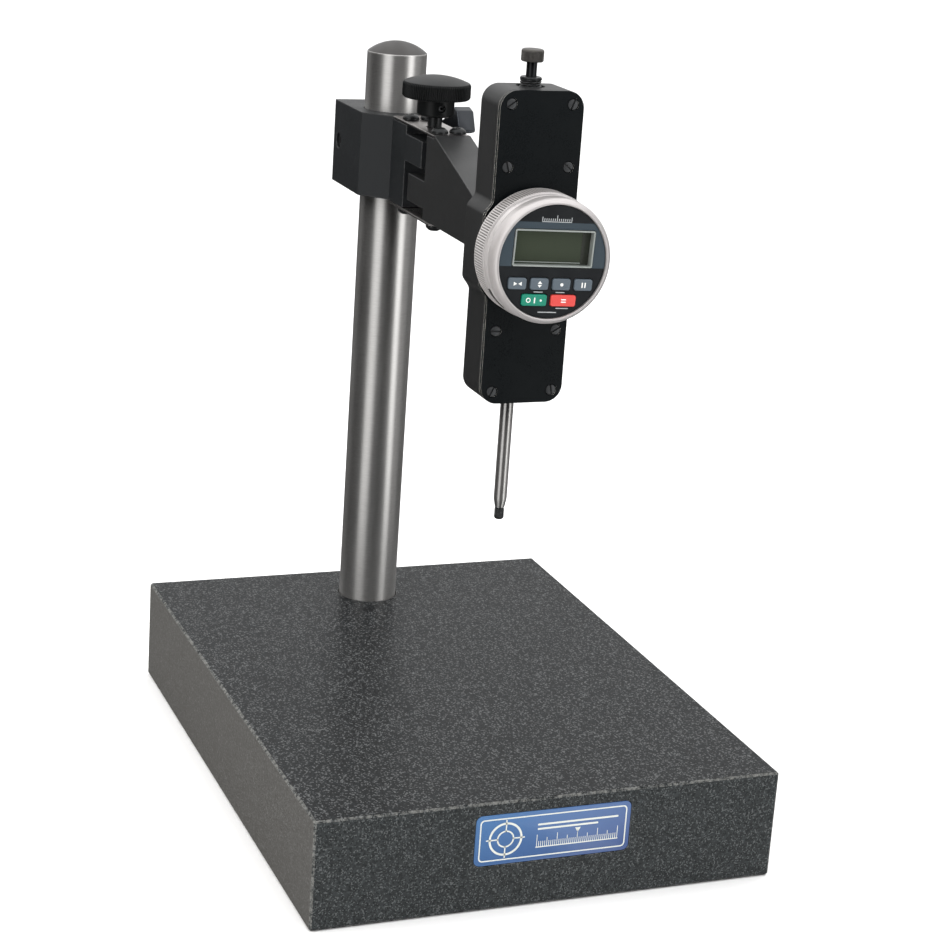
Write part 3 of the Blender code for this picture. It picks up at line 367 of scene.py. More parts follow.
# The cover's near-white edges, kept to those facing left (-x), are a painted highlight from the light on the
# left, not wear.
COVER = surface("cover_black", (0.0035, 0.0048, 0.0055), 0.30, 0.0, 2400, 0.004, vary=0.2,
                edge_wear_and_highlight=((0.92, 0.89, 0.82), 1.0, 0.6), highlight_side=(-1, 0, 0), Specular_IOR_Level=0.15)
SCREW = surface("screw_black", (0.040, 0.042, 0.044), 0.45, 0.3, 2400, 0.006, vary=0.2,
                edge_wear_and_highlight=((0.12, 0.12, 0.12), 0.4, 0.2))
CAP = surface("cap_steel", (0.085, 0.080, 0.074), 0.36, 0.7, 2600, 0.006, vary=0.25,
              edge_wear_and_highlight=((0.30, 0.29, 0.28), 0.6, 0.3))
KNOB = surface("knob_plastic", (0.0045, 0.0050, 0.0052), 0.34, 0.0, 3200, 0.012, vary=0.15,
               edge_wear_and_highlight=((0.07, 0.07, 0.068), 0.5, 0.25), Specular_IOR_Level=0.17)
PAINT = surface("dial_metal", (0.53, 0.505, 0.50), 0.38, 0.55, 4200, 0.006, vary=0.08,
                edge_wear_and_highlight=((0.72, 0.69, 0.66), 0.5, 0.25), rough_vary=0.06)
PLASTIC = surface("face_plastic", (0.016, 0.018, 0.020), 0.42, 0.0, 3000, 0.02, vary=0.2,
                  edge_wear_and_highlight=((0.05, 0.05, 0.05), 0.6, 0.5))
SILVER = surface("frame_silver", (0.36, 0.39, 0.37), 0.34, 0.5, 3000, 0.002, vary=0.08,
                 edge_wear_and_highlight=((0.55, 0.57, 0.55), 0.6, 0.5))
BATTERY_STEEL = surface("battery_steel", (0.70, 0.69, 0.67), 0.28, 1.0, 1600, 0.006, (1, 1, 9), 0.1)
KEY_GREY = surface("key_grey", (0.088, 0.112, 0.135), 0.46, 0.0, 3600, 0.02, vary=0.12,
                   edge_wear_and_highlight=((0.16, 0.18, 0.20), 0.6, 0.5))
KEY_GREEN = surface("key_green", (0.001, 0.215, 0.135), 0.44, 0.0, 3600, 0.02, vary=0.1,
                    edge_wear_and_highlight=((0.05, 0.42, 0.28), 0.6, 0.5))
KEY_RED = surface("key_red", (0.66, 0.058, 0.048), 0.44, 0.0, 3600, 0.02, vary=0.08,
                  edge_wear_and_highlight=((0.9, 0.2, 0.15), 0.6, 0.5))
INK = surface("print_white", (0.80, 0.80, 0.77), 0.5, 0.0, 4200, 0.01, vary=0.06)
FAINT_INK = surface("print_grey", (0.42, 0.44, 0.45), 0.5, 0.0, 4200, 0.01, vary=0.06)
CREAM = surface("print_cream", (0.66, 0.68, 0.63), 0.42, 0.0, 3600, 0.01, vary=0.08)
BRASS = surface("brass", (0.62, 0.43, 0.16), 0.30, 1.0, 1500, 0.006, (1, 1, 8), 0.15,
                edge_wear_and_highlight=((0.85, 0.66, 0.33), 0.6, 0.5))
DARK_STRIP = surface("lcd_dark_strip", (0.022, 0.025, 0.018), 0.3, 0.0, 2600, 0.004)

BY_SLOT = dict(
    granite=GRANITE, ground_steel=GROUND, spring_steel=SPRING, black_steel=BLACK_STEEL, brass=BRASS,
    black_anodise=ANODISE, cover_black=COVER, knob_plastic=KNOB, dial_paint=PAINT, face_plastic=PLASTIC,
    frame_silver=SILVER, battery_steel=BATTERY_STEEL, lcd_glass=LCD, key_grey=KEY_GREY, key_green=KEY_GREEN,
    key_red=KEY_RED, label_blue=LABEL, circuit_green=BOARD,
)


# ---- modelling


def link(obj):
    bpy.context.scene.collection.objects.link(obj)
    return obj


def in_space(axis, first, second, along):
    if axis == "x":
        return (along, first, second)
    if axis == "y":
        return (first, along, second)
    return (first, second, along)


def soften(profile, radius, steps=3, ring=False):
    """A profile of (radius, along, hexagonal share) with its corners rounded."""
    points = [tuple(p) + (0.0,) * (3 - len(p)) for p in profile]
    count, rounded = len(points), []
    for i, point in enumerate(points):
        if not ring and i in (0, count - 1):
            rounded.append(point)
            continue
        here = Vector(point[:2])
        ends = []
        for other in (points[i - 1], points[(i + 1) % count]):
            leg = Vector(other[:2]) - here
            reach = min(radius, 0.45 * leg.length)
            ends.append(here + leg.normalized() * reach)
        for k in range(steps + 1):
            t = k / steps
            at = ends[0] * (1 - t) ** 2 + here * (2 * t * (1 - t)) + ends[1] * t**2
            rounded.append((at.x, at.y, point[2]))
    return rounded


def dense(profile, step, low, high):
    """The profile with more points where it runs along the axis between low and high."""
    out = [tuple(profile[0]) + (0.0,) * (3 - len(profile[0]))]
    for point in profile[1:]:
        point = tuple(point) + (0.0,) * (3 - len(point))
        last = out[-1]
        inside = min(last[1], point[1]) >= low - 0.01 and max(last[1], point[1]) <= high + 0.01
        count = max(1, math.ceil(abs(point[1] - last[1]) / step)) if inside else 1
        for k in range(1, count + 1):
            out.append(tuple(a + (b - a) * k / count for a, b in zip(last, point)))
    return out


def lathe(profile, axis="z", centre=(0.0, 0.0), segments=96, ring=False, relief=None):
    """A turned shape. relief(angle, radius, along) changes a point's radius, as knurling does."""
    shape, loops = bmesh.new(), []
    for entry in profile:
        radius, along = entry[0], entry[1]
        hexagonal = entry[2] if len(entry) > 2 else 0.0
        loop = []
        for i in range(1 if radius == 0 else segments):
            angle = 2 * math.pi * i / segments
            flat = math.cos(math.pi / 6) / math.cos(angle % (math.pi / 3) - math.pi / 6)
            reach = radius * (1 + hexagonal * (flat - 1))
            if relief and radius:
                reach += relief(angle, radius, along)
            a, b = centre[0] + reach * math.cos(angle), centre[1] + reach * math.sin(angle)
            loop.append(shape.verts.new(in_space(axis, a, b, along)))
        loops.append(loop)
    pairs = list(zip(loops, loops[1:] + loops[:1])) if ring else list(zip(loops, loops[1:]))
    for low, high in pairs:
        for i in range(segments):
            j = (i + 1) % segments
            corners = []
            for corner in (low[i % len(low)], low[j % len(low)], high[j % len(high)], high[i % len(high)]):
                if corner not in corners:
                    corners.append(corner)
            if len(corners) > 2:
                shape.faces.new(corners)
    return shape


def rod(radius, axis, low, high, centre=(0.0, 0.0), segments=64):
    return lathe([(0, low), (radius, low), (radius, high), (0, high)], axis, centre, segments)


def dome(rim_radius, rim_at, top_at, steps):
    rise = top_at - rim_at
    sphere = (rim_radius**2 + rise**2) / (2 * rise)
    half = math.asin(rim_radius / sphere)
    angles = [half * (1 - i / steps) for i in range(steps)]
    points = [(sphere * math.sin(a), top_at - sphere * (1 - math.cos(a))) for a in angles]
    return points + [(0, top_at)]


def loft(loops):
    """A closed solid through loops of points."""
    shape = bmesh.new()
    made = [[shape.verts.new(point) for point in loop] for loop in loops]
    for low, high in zip(made, made[1:]):
        for i in range(len(low)):
            j = (i + 1) % len(low)
            shape.faces.new((low[i], low[j], high[j], high[i]))
    shape.faces.new(made[0])
    shape.faces.new(made[-1])
    return shape


def stack(axis, layers):
    """A closed solid through outlines, each at its place along an axis."""
    return loft([[in_space(axis, a, b, at) for a, b in outline] for outline, at in layers])


def prism(outline, axis, low, high):
    return stack(axis, [(outline, low), (outline, high)])


def block(x, y, z):
    return prism([(x[0], y[0]), (x[1], y[0]), (x[1], y[1]), (x[0], y[1])], "z", z[0], z[1])


def rounded(width, height, radius, centre=(0.0, 0.0), steps=6):
    points = []
    for quarter, (sx, sy) in enumerate(((1, 1), (-1, 1), (-1, -1), (1, -1))):
        for step in range(steps + 1):
            angle = (quarter + step / steps) * math.pi / 2
            x = centre[0] + sx * (width / 2 - radius) + radius * math.cos(angle)
            y = centre[1] + sy * (height / 2 - radius) + radius * math.sin(angle)
            points.append((x, y))
    return points


def combine(shape, others, operation="DIFFERENCE"):
    """A Boolean of one shape with others, all of which are used up."""
    made = []
    for number, source in enumerate((shape, *others)):
        bmesh.ops.recalc_face_normals(source, faces=source.faces)
        mesh = bpy.data.meshes.new("part")
        source.to_mesh(mesh)
        source.free()
        made.append(link(bpy.data.objects.new(f"part_{number}", mesh)))
    for tool in made[1:]:
        step = made[0].modifiers.new("step", "BOOLEAN")
        step.operation, step.object = operation, tool
    bpy.context.view_layer.update()
    result = bmesh.new()
    result.from_object(made[0], bpy.context.evaluated_depsgraph_get())
    for old in made:
        mesh = old.data
        bpy.data.objects.remove(old, do_unlink=True)
        bpy.data.meshes.remove(mesh)
    return result


def merged(shapes):
    """Several separate shapes in one mesh."""
    whole = bmesh.new()
    for shape in shapes:
        mesh = bpy.data.meshes.new("part")
        shape.to_mesh(mesh)
        shape.free()
        whole.from_mesh(mesh)
        bpy.data.meshes.remove(mesh)
    return whole


def to_mesh(name, shape, material, smooth=35.0, bevelled=False):
    bmesh.ops.recalc_face_normals(shape, faces=shape.faces)
    bmesh.ops.scale(shape, vec=(MM, MM, MM), verts=shape.verts)
    mesh = bpy.data.meshes.new(name)
    shape.to_mesh(mesh)
    shape.free()
    mesh.materials.append(material)
    mesh.shade_smooth()
    if not bevelled:
        mesh.set_sharp_from_angle(angle=math.radians(smooth))
    return mesh


def soft_edges(obj, width, segments=3, angle=28.0):
    step = obj.modifiers.new("edges", "BEVEL")
    step.width, step.segments = width * MM, segments
    step.limit_method, step.angle_limit = "ANGLE", math.radians(angle)
    step.harden_normals = True
    step.use_clamp_overlap = True


def piece(name, shape, material, body, nodes=(), at=(0, 0, 0), turn=0.0, bevel=0.0, slot=None, segments=3,
          smooth=35.0):
    """A finished piece from a shape, or from a mesh that copies share."""
    mesh = shape if isinstance(shape, bpy.types.Mesh) else to_mesh(name, shape, material, smooth, bevel > 0)
    made = link(bpy.data.objects.new(name, mesh))
    made.location = Vector(at) * MM
    made.rotation_euler = (0.0, turn, 0.0)
    if bevel:
        soft_edges(made, bevel, segments)
    nodes = [nodes] if isinstance(nodes, str) else list(nodes)
    if body:
        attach(made, body)
    if nodes:
        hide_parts(*nodes)
    return made


def on_dial(name, shape, material, nodes=(), body="dial", **more):
    return piece(name, shape, material, body, nodes, DIAL, DIAL_TURN, **more)


# ---- camera, light and floor


def make_stage():
    camera = link(bpy.data.objects.new("camera", bpy.data.cameras.new("camera")))
    camera.data.lens, camera.data.sensor_width = 86.9, 36.0
    right = Vector((0.93084, -0.35931, 0.06653))
    up = Vector((0.04742, 0.2993, 0.95298))
    back = Vector((-0.36233, -0.88392, 0.29564))
    turn = Matrix((right, up, back)).transposed()
    camera.matrix_world = Matrix.Translation((-0.4026, -1.0110, 0.4954)) @ turn.to_4x4()
    camera.data.clip_end = 100.0
    bpy.context.scene.camera = camera

    make_floor()
    make_backdrop()
    make_room()
    lights = (
        ("left_box", (-1.6, -0.1, 0.7), (0.9, 0.9), 17.0, (1.0, 0.97, 0.93)),
        ("top_box", (0.2, 0.1, 1.9), (1.4, 1.2), 10.0, (1.0, 1.0, 1.0)),
        ("front_box", (0.3, -1.8, 0.9), (1.0, 0.8), 4.0, (0.95, 0.98, 1.0)),
    )
    for name, at, size, power, color in lights:
        data = bpy.data.lights.new(name, "AREA")
        data.shape, data.size, data.size_y = "RECTANGLE", size[0], size[1]
        data.energy, data.color = power, color
        lamp = link(bpy.data.objects.new(name, data))
        lamp.location = at
        aim = Vector((0.0, 0.0, 0.2)) - Vector(at)
        lamp.rotation_euler = aim.to_track_quat("-Z", "Y").to_euler()
        lamp.visible_glossy = False
    bpy.context.scene.view_settings.view_transform = "Standard"


def scenery(name, shape, material):
    """Part of the studio, drawn in metres and left out of the model."""
    mesh = bpy.data.meshes.new(name)
    shape.to_mesh(mesh)
    shape.free()
    mesh.materials.append(material)
    made = link(bpy.data.objects.new(name, mesh))
    return made


def make_floor():
    f = Finish("floor", Roughness=0.8)
    tone = f.mix(f.span(f.noise(3.0, 2.0), 0.3, 0.7), (0.91, 0.91, 0.91), (0.93, 0.93, 0.93))
    shape = bmesh.new()
    bmesh.ops.create_grid(shape, x_segments=4, y_segments=4, size=30.0)
    floor = scenery("floor", shape, f.finished(tone))
    floor.location.z = -0.0002
    floor.visible_glossy = False


def make_backdrop():
    """A plain white wall all the way round, in front of the horizon; it lights nothing."""
    material = bpy.data.materials.new("backdrop")
    material.use_nodes = True
    shader = material.node_tree.nodes["Principled BSDF"]
    shader.inputs["Base Color"].default_value = (0.0, 0.0, 0.0, 1.0)
    shader.inputs["Emission Color"].default_value = (1.0, 1.0, 1.0, 1.0)
    shader.inputs["Emission Strength"].default_value = 1.0
    wall = scenery("backdrop", lathe([(8.0, -0.1), (8.0, 6.0)]), material)
    wall.visible_diffuse = wall.visible_glossy = wall.visible_shadow = False


def make_room():
    """The studio around the table: bright overhead, three tall soft boxes and a pale wall behind."""
    world = bpy.data.worlds.new("studio")
    bpy.context.scene.world = world
    world.use_nodes = True
    room = Finish.__new__(Finish)
    room.tree = world.node_tree
    room.shader = room.tree.nodes["Background"]
    room.coords = room.add("ShaderNodeTexCoord").outputs["Generated"]
    x, y, z = room.axes()
    level = room.math("SQRT", room.math("SUBTRACT", 1.0001, room.times(z, z)))

    def sector(toward, half_width, feather, low, high):
        """1 within half_width degrees of a direction and between two heights."""
        along = room.plus(room.times(x, toward[0]), room.times(y, toward[1]))
        cosine = room.math("DIVIDE", along, level)
        inside = room.span(cosine, math.cos(math.radians(half_width + feather)),
                           math.cos(math.radians(max(half_width - feather, 0))))
        above, below = room.span(z, low - 0.06, low + 0.06), room.span(z, high + 0.1, high - 0.1)
        return room.times(inside, room.times(above, below))

    total = room.plus(room.span(z, 0.35, 0.8, 0.0, OVERHEAD), ROOM_LEVEL)
    for *shape, strength in SOFT_BOXES:
        total = room.plus(total, room.times(sector(*shape), strength))
    room.into("Strength", total)
    room.shader.inputs["Color"].default_value = (1.0, 1.0, 1.0, 1.0)


# ---- base and column


def make_base():
    shape = block((-BASE_X / 2, BASE_X / 2), (-BASE_Y / 2, BASE_Y / 2), (0, BASE_Z))
    bmesh.ops.bevel(shape, geom=shape.edges, offset=1.0, segments=1, affect="EDGES")
    hole = [(0, -1), (17, -1), (17, 16), (7, 16), (7, SOCKET_FLOOR_Z), (15.9, SOCKET_FLOOR_Z)]
    hole += [(15.9, BASE_Z - 0.4), (16.3, BASE_Z), (16.3, BASE_Z + 1), (0, BASE_Z + 1)]
    front = -BASE_Y / 2
    pocket = rounded(LABEL_W + 2 * GAP, LABEL_H + 2 * GAP, LABEL_RADIUS + GAP, (0, LABEL_Z))
    tools = [lathe(hole, "z", (0, COLUMN_Y), 128), prism(pocket, "y", front - 1, front + LABEL_DEPTH)]
    piece("granite_plate", combine(shape, tools), GRANITE, "base", "granite_base", bevel=0.3, segments=2)

    layers = []
    for inset, y in ((0.0, 0.4), (0.0, 0.15), (0.05, 0.05), (0.15, 0.0)):
        layers.append((rounded(LABEL_W - 2 * inset, LABEL_H - 2 * inset, LABEL_RADIUS - inset), y))
    place = (0, front, LABEL_Z)
    piece("label_plate", stack("y", layers), LABEL, "base", "front_label", place, smooth=50)
    make_label_print(place)


def make_label_print(place):
    """A plain rule of ticks with a pointer and a ring with a cross, inside a thin border."""
    low, high = -0.06, 0.02

    def mark(x0, x1, z0, z1):
        return block((x0, x1), (low, high), (z0, z1))

    marks = [combine(prism(rounded(72.4, 20.8, 2.0), "y", low, high),
                     [prism(rounded(71.2, 19.6, 1.5), "y", low - 1, high + 1)])]
    for i in range(41):
        x = -8.0 + i
        tall = 6.0 if i % 10 == 0 else 4.2 if i % 5 == 0 else 2.6
        marks.append(mark(x - 0.14, x + 0.14, -5.6, -5.6 + tall))
    marks.append(mark(-8.4, 32.4, -6.1, -5.6))
    for z, end in ((5.4, 32.0), (3.2, 22.0)):
        marks.append(prism(rounded(end + 8.0, 0.9, 0.4, ((end - 8.0) / 2, z), 3), "y", low, high))
    cross, arms = -23.5, ((3.5, 9.4), (-9.4, -3.5))
    for outer, inner in ((8.2, 7.2), (4.2, 3.5)):
        profile = [(inner, low), (outer, low), (outer, high), (inner, high)]
        marks.append(lathe(profile, "y", (cross, 0), 72, ring=True))
    marks += [mark(cross + near, cross + far, -0.3, 0.3) for near, far in arms]
    marks += [mark(cross - 0.3, cross + 0.3, near, far) for near, far in arms]
    marks.append(prism([(12.0, -0.4), (10.6, 1.9), (13.4, 1.9)], "y", low, high))
    piece("label_print", merged(marks), CREAM, "base", at=place, slot="label_blue")


def make_column():
    foot = SOCKET_FLOOR_Z + GAP
    profile = [(0, 63), (6.3, 61), (6.3, foot), (COLUMN_R - 0.6, foot), (COLUMN_R, foot + 0.6)]
    shoulder = (COLUMN_R, COLUMN_RIM_Z - 0.8)
    profile += soften([shoulder] + dome(COLUMN_R, COLUMN_RIM_Z, COLUMN_TOP_Z, 20), 0.8)
    place = (0, COLUMN_Y, 0)
    piece("column_post", lathe(profile, segments=192), GROUND, "column", "column", place)
    washer_top = 16 - GAP
    washer = [(6.5, washer_top - 2.5), (16, washer_top - 2.5), (16, washer_top), (6.5, washer_top)]
    shape = lathe(soften(washer, 0.3, ring=True), ring=True)
    piece("washer", shape, BLACK_STEEL, "base", "bolt_washer", place)
    head_top = washer_top - 2.5 - GAP
    bolt = [(0, 7, 1), (5.7, 7, 1), (5.7, 2.4, 1), (6.3, 2, 0.4), (8.6, 2), (9, 2.4), (9, head_top)]
    bolt += [(6, head_top), (6, 58), (0, 58)]
    knurl = ridges(72, 0.15, 8.9, 2.8, head_top - 0.3)
    shape = lathe(dense(bolt, 1.0, 2.4, head_top), segments=288, relief=knurl)
    piece("bolt", shape, BLACK_STEEL, "base", "column_bolt", place)


def grooves(depth, least_radius, low, high, run_out, share):
    """Grooves for lathe(), between two heights and beyond a radius, running out at both ends."""

    def relief(angle, radius, along):
        if radius < least_radius or not low <= along <= high:
            return 0.0
        fade = min(1.0, (along - low) / run_out, (high - along) / run_out)
        return -depth * fade * share(angle, along)

    return relief


def ridges(count, depth, least_radius, low, high):
    """Straight knurling along the axis."""

    def share(angle, along):
        return 1 - (0.5 - 0.5 * math.cos(count * angle)) ** 0.6

    return grooves(depth, least_radius, low, high, 0.4, share)


def thread(pitch, depth, least_radius, low, high):
    """A screw thread: one groove climbing round the axis."""

    def share(angle, along):
        return 1 - abs(2 * ((along / pitch - angle / (2 * math.pi)) % 1.0) - 1)

    return grooves(depth, least_radius, low, high, pitch, share)


# ---- clamp, flexure and arm


def make_clamp():
    wide, narrow = CLAMP_HALF_X, ARM_HALF_X
    outline = [
        (-wide, CLAMP_BACK_Y), (-wide, CLAMP_SHOULDER_Y), (-narrow, CLAMP_FRONT_Y),
        (narrow, CLAMP_FRONT_Y), (wide, CLAMP_SHOULDER_Y), (wide, CLAMP_BACK_Y),
    ]
    low_tongue, high_tongue = UPPER_TONGUE_Z
    neck = [
        (CLAMP_FRONT_Y + 3, CLAMP_LOW_Z), (CLAMP_FRONT_Y + 3, SEAT_Z), (NECK_FRONT_Y, SEAT_Z),
        (NECK_FRONT_Y, high_tongue), (UPPER_TONGUE_Y, high_tongue), (UPPER_TONGUE_Y, low_tongue),
        (NECK_FRONT_Y, low_tongue), (NECK_FRONT_Y, CLAMP_LOW_Z),
    ]
    body = prism(outline, "z", CLAMP_LOW_Z, CLAMP_TOP_Z)
    body = combine(body, [prism(neck, "x", -narrow, narrow)], "UNION")
    low, high = CLAMP_LOW_Z - 5, CLAMP_TOP_Z + 5
    pinch = (PINCH_Y, PINCH_Z)
    tools = [
        rod(COLUMN_R + GAP, "z", low, high, (0, COLUMN_Y), 128),
        block((-1, 1), (COLUMN_Y, CLAMP_BACK_Y + 5), (low, high)),
        rod(STUD_R + GAP, "x", -wide - 5, -0.5, pinch),
        rod(STUD_R + 0.6, "x", 0.5, wide + 5, pinch),
        rod(3.3, "z", 300, 318, (0, KNOB_Y)),
    ]
    tools += leaf_screw_holes(LEAF_SCREW_REAR_Y, low)
    piece("clamp_body", combine(body, tools), CAST_BLACK, "clamp", "clamp_block", bevel=0.5)


def leaf_screw_holes(y, low):
    holes = []
    for x in (-LEAF_SCREW_X, LEAF_SCREW_X):
        for ends in ((SEAT_Z - 11, SEAT_Z + 5), (low, CLAMP_LOW_Z + 11)):
            holes.append(rod(LEAF_HOLE_R, "z", *ends, (x, y), 32))
    return holes


def mount_screw_holes(back, front):
    places = [(side * MOUNT_SCREW_X, MOUNT_SCREW_Z) for side in (-1, 1)]
    return [rod(MOUNT_HOLE_R, "y", back, front, place, 32) for place in places]


def make_leaves():
    back, front = CLAMP_FRONT_Y - GAP, HEAD_STEP_Y + GAP
    stations = 48
    for name, node_name, low in (("leaf_top", "top_leaf_spring", SEAT_Z + GAP),
                                 ("leaf_bottom", "bottom_leaf_spring", LEAF_LOW_Z)):
        section = rounded(2 * ARM_HALF_X, LEAF_T, 0.25, (0, low + LEAF_T / 2), 3)
        shape = stack("y", [(section, front + (back - front) * i / stations) for i in range(stations + 1)])
        if low > SEAT_Z:
            shape = combine(shape, [rod(4.3, "z", low - 2, low + 3, (0, KNOB_Y), 64)])
        leaf = piece(name, shape, SPRING, None, node_name)
        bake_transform(leaf)


def screw_profile(head, shank, tall, length, socket):
    """A button head with a hexagonal socket, from the socket's floor round to the shank's end."""
    return [
        (0, tall - 1.5, 1), (socket, tall - 1.5, 1), (socket, tall - 0.15, 1), (socket + 0.25, tall, 0.3),
        (socket + 0.9, tall - 0.02), (head * 0.72, tall - 0.45), (head * 0.93, tall - 1.25),
        (head, tall - 1.95), (head, 0.15), (head - 0.15, 0), (shank, 0), (shank, -length), (0, -length),
    ]


def make_leaf_screws():
    """Button-head screws, the lower ones being the upper ones upside down."""
    upright = screw_profile(4.2, 2.0, 2.7, 10.5, 1.45)
    shared = to_mesh("button_screw", lathe(upright, segments=72), BLACK_STEEL)
    flipped = [(radius, -along, *hexagonal) for radius, along, *hexagonal in upright]
    shared_low = to_mesh("button_screw_low", lathe(flipped, segments=72), BLACK_STEEL)
    levels = (("top", shared, LEAF_TOP_Z + GAP), ("bottom", shared_low, LEAF_LOW_Z - GAP))
    for row, y, body in (("rear", LEAF_SCREW_REAR_Y, "clamp"), ("front", LEAF_SCREW_FRONT_Y, "arm")):
        for side, x in (("left", -LEAF_SCREW_X), ("right", LEAF_SCREW_X)):
            for level, mesh, z in levels:
                where = f"{level}_{row}_{side}"
                piece(f"button_{where}", mesh, None, body, f"leaf_screw_{where}", (x, y, z))


def make_arm():
    front = HOUSING_BACK_Y + GAP
    low, high = LOWER_TONGUE_Z
    side = [
        (front, CLAMP_LOW_Z), (HEAD_BACK_Y, CLAMP_LOW_Z), (HEAD_BACK_Y, low), (LOWER_TONGUE_Y, low),
        (LOWER_TONGUE_Y, high), (HEAD_BACK_Y, high), (HEAD_BACK_Y, SEAT_Z), (HEAD_STEP_Y, SEAT_Z),
        (HEAD_STEP_Y, LEAF_TOP_Z), (30.0, LEAF_TOP_Z), (front, 292.9),
    ]
    tools = leaf_screw_holes(LEAF_SCREW_FRONT_Y, 270) + mount_screw_holes(front - 5, front + 12)
    shape = combine(prism(side, "x", -ARM_HALF_X, ARM_HALF_X), tools)
    piece("arm_body", shape, ANODISE, "arm", "arm_head", bevel=0.4)


def make_knob():
    bore = 3.9
    profile = [(0, 339.5), (bore, 339.5), (bore, 327.5), (8.3, 327.5), (9.3, 328.6), (9.3, 335.6),
               (9.6, 336.3), (16.1, 336.3), (17.0, 337.2), (17.0, 343.2), (16.5, 344.0)]
    profile = soften(profile + dome(16.3, 344.2, 347.6, 16), 0.3, 2)
    profile = dense(profile, 0.7, 336.9, 343.6)
    shape = lathe(profile, segments=576, relief=ridges(96, 0.42, 15.5, 336.4, 344.3))
    shape = combine(shape, [rod(1.9, "y", -11.3, -2.9, (0, SET_SCREW_Z), 48)])
    place = (0, KNOB_Y, 0)
    piece("knob_body", shape, KNOB, "knob", "fine_knob", place, smooth=60)
    screw = [(0, 339.2), (3.6, 339.2), (3.6, 319.5), (3.0, 318.5), (3.0, 299.7), (1.5, 297.7), (0, 297.7)]
    shape = lathe(dense(soften(screw, 0.2), 0.12, 299.0, 318.6), segments=64,
                  relief=thread(0.5, 0.2, 2.8, 299.0, 318.6))
    piece("adjusting_screw", shape, BLACK_STEEL, "knob", "fine_screw", place)
    grub = [(0, -6.6, 1), (0.9, -6.6, 1), (0.9, -8.3, 1), (1.1, -8.4, 0.3), (1.5, -8.4), (1.6, -8.2),
            (1.6, -4.3), (0, -4.1)]
    shape = lathe(grub, "y", (0, SET_SCREW_Z), 48)
    piece("grub_screw", shape, BLACK_STEEL, "knob", "knob_set_screw", place)


def make_lever():
    place = (0, PINCH_Y, PINCH_Z)
    face, end, bore = CLAMP_HALF_X + GAP, LEVER_HUB_END_X, STUD_R + GAP
    hub = [(2.0, end), (6.3, end), (7.5, end - 1), (7.5, face + 1.2), (6.6, face), (bore, face),
           (bore, end - 1.5), (2.0, end - 1.5)]
    shape = lathe(soften(hub, 0.3, ring=True), "x", ring=True)
    sections = [
        (0.0, 29.5, 3.6, -5.6, 5.6), (6.0, 29.8, 3.6, -5.3, 5.3), (12.0, 30.2, 3.6, -4.9, 4.9),
        (18.0, 30.7, 3.6, -4.6, 4.5), (24.0, 31.4, 3.7, -4.7, 4.3), (29.0, 32.1, 3.9, -5.2, 4.6),
        (34.0, 32.8, 4.3, -6.1, 5.4), (38.0, 33.4, 4.6, -7.2, 6.3), (40.0, 33.6, 4.7, -7.7, 6.5),
        (42.6, 33.8, 4.7, -8.1, 3.9), (43.1, 33.85, 4.5, -7.9, 3.5), (43.3, 33.9, 4.1, -7.5, 3.1),
    ]
    out = Vector((0.0, -math.cos(LEVER_ANGLE), math.sin(LEVER_ANGLE)))
    across = Vector((0.0, math.sin(LEVER_ANGLE), math.cos(LEVER_ANGLE)))
    loops = []
    for reach, x, half_x, below, above in sections:
        outline = rounded(2 * half_x, above - below, 1.1, (x, (below + above) / 2), 5)
        loops.append([Vector((a, 0, 0)) + out * reach + across * b for a, b in outline])
    shape = combine(shape, [loft(loops)], "UNION")
    shape = combine(shape, [rod(bore, "x", face - 2, end - 1.5), rod(2.0, "x", end - 3, end + 2)])
    piece("lever_arm", shape, LEVER_BLACK, "lever", "lever_handle", place, smooth=30)
    stud_end = end - 1.5 - GAP
    stud = [(0, -18.5, 1), (1.9, -18.5, 1), (1.9, -20.8, 1), (2.2, -21), (3.4, -21), (STUD_R, -20.7)]
    stud += [(STUD_R, stud_end - 0.3), (STUD_R - 0.3, stud_end), (1.9, stud_end), (1.9, 28), (0, 28)]
    shape = lathe(dense(stud, 0.2, -20.8, -2.0), "x", segments=72, relief=thread(1.25, 0.4, 3.5, -20.6, -1.0))
    piece("pinch_stud", shape, BLACK_STEEL, "lever", "lever_stud", place)
    head = end + GAP
    cap = [(0, 29), (1.6, 29), (1.6, head), (5, head), (5, head + 2.2), (4.2, head + 2.8), (2.0, head + 2.8),
           (1.7, head + 2.6, 1), (1.7, head + 1, 1), (0, head + 1, 1)]
    piece("cap_screw", lathe(cap, "x"), BLACK_STEEL, "lever", "lever_cap_screw", place)


# ---- housing


def housing_outline(steps=14):
    """The housing from the front: rounded corners, and a swelling on each side at the dial's height."""
    half, grow, corner = HOUSING_HALF_X, HOUSING_FLARE_X - HOUSING_HALF_X, HOUSING_CORNER_R
    shares = [i / steps for i in range(steps + 1)]

    def arc(z, start):
        angles = [math.pi / 2 * (share + start) for share in shares]
        return [(half - corner + corner * math.cos(angle), z + corner * math.sin(angle)) for angle in angles]

    flare = [(half + grow * (1 - math.cos(math.pi * t)) / 2, DIAL_Z - 23 + 7.5 * t) for t in shares]
    right = arc(HOUSING_LOW_Z + corner, -1) + flare + [(x, 2 * DIAL_Z - z) for x, z in reversed(flare)]
    right += arc(HOUSING_TOP_Z - corner, 0)
    return right + [(-x, z) for x, z in reversed(right)]


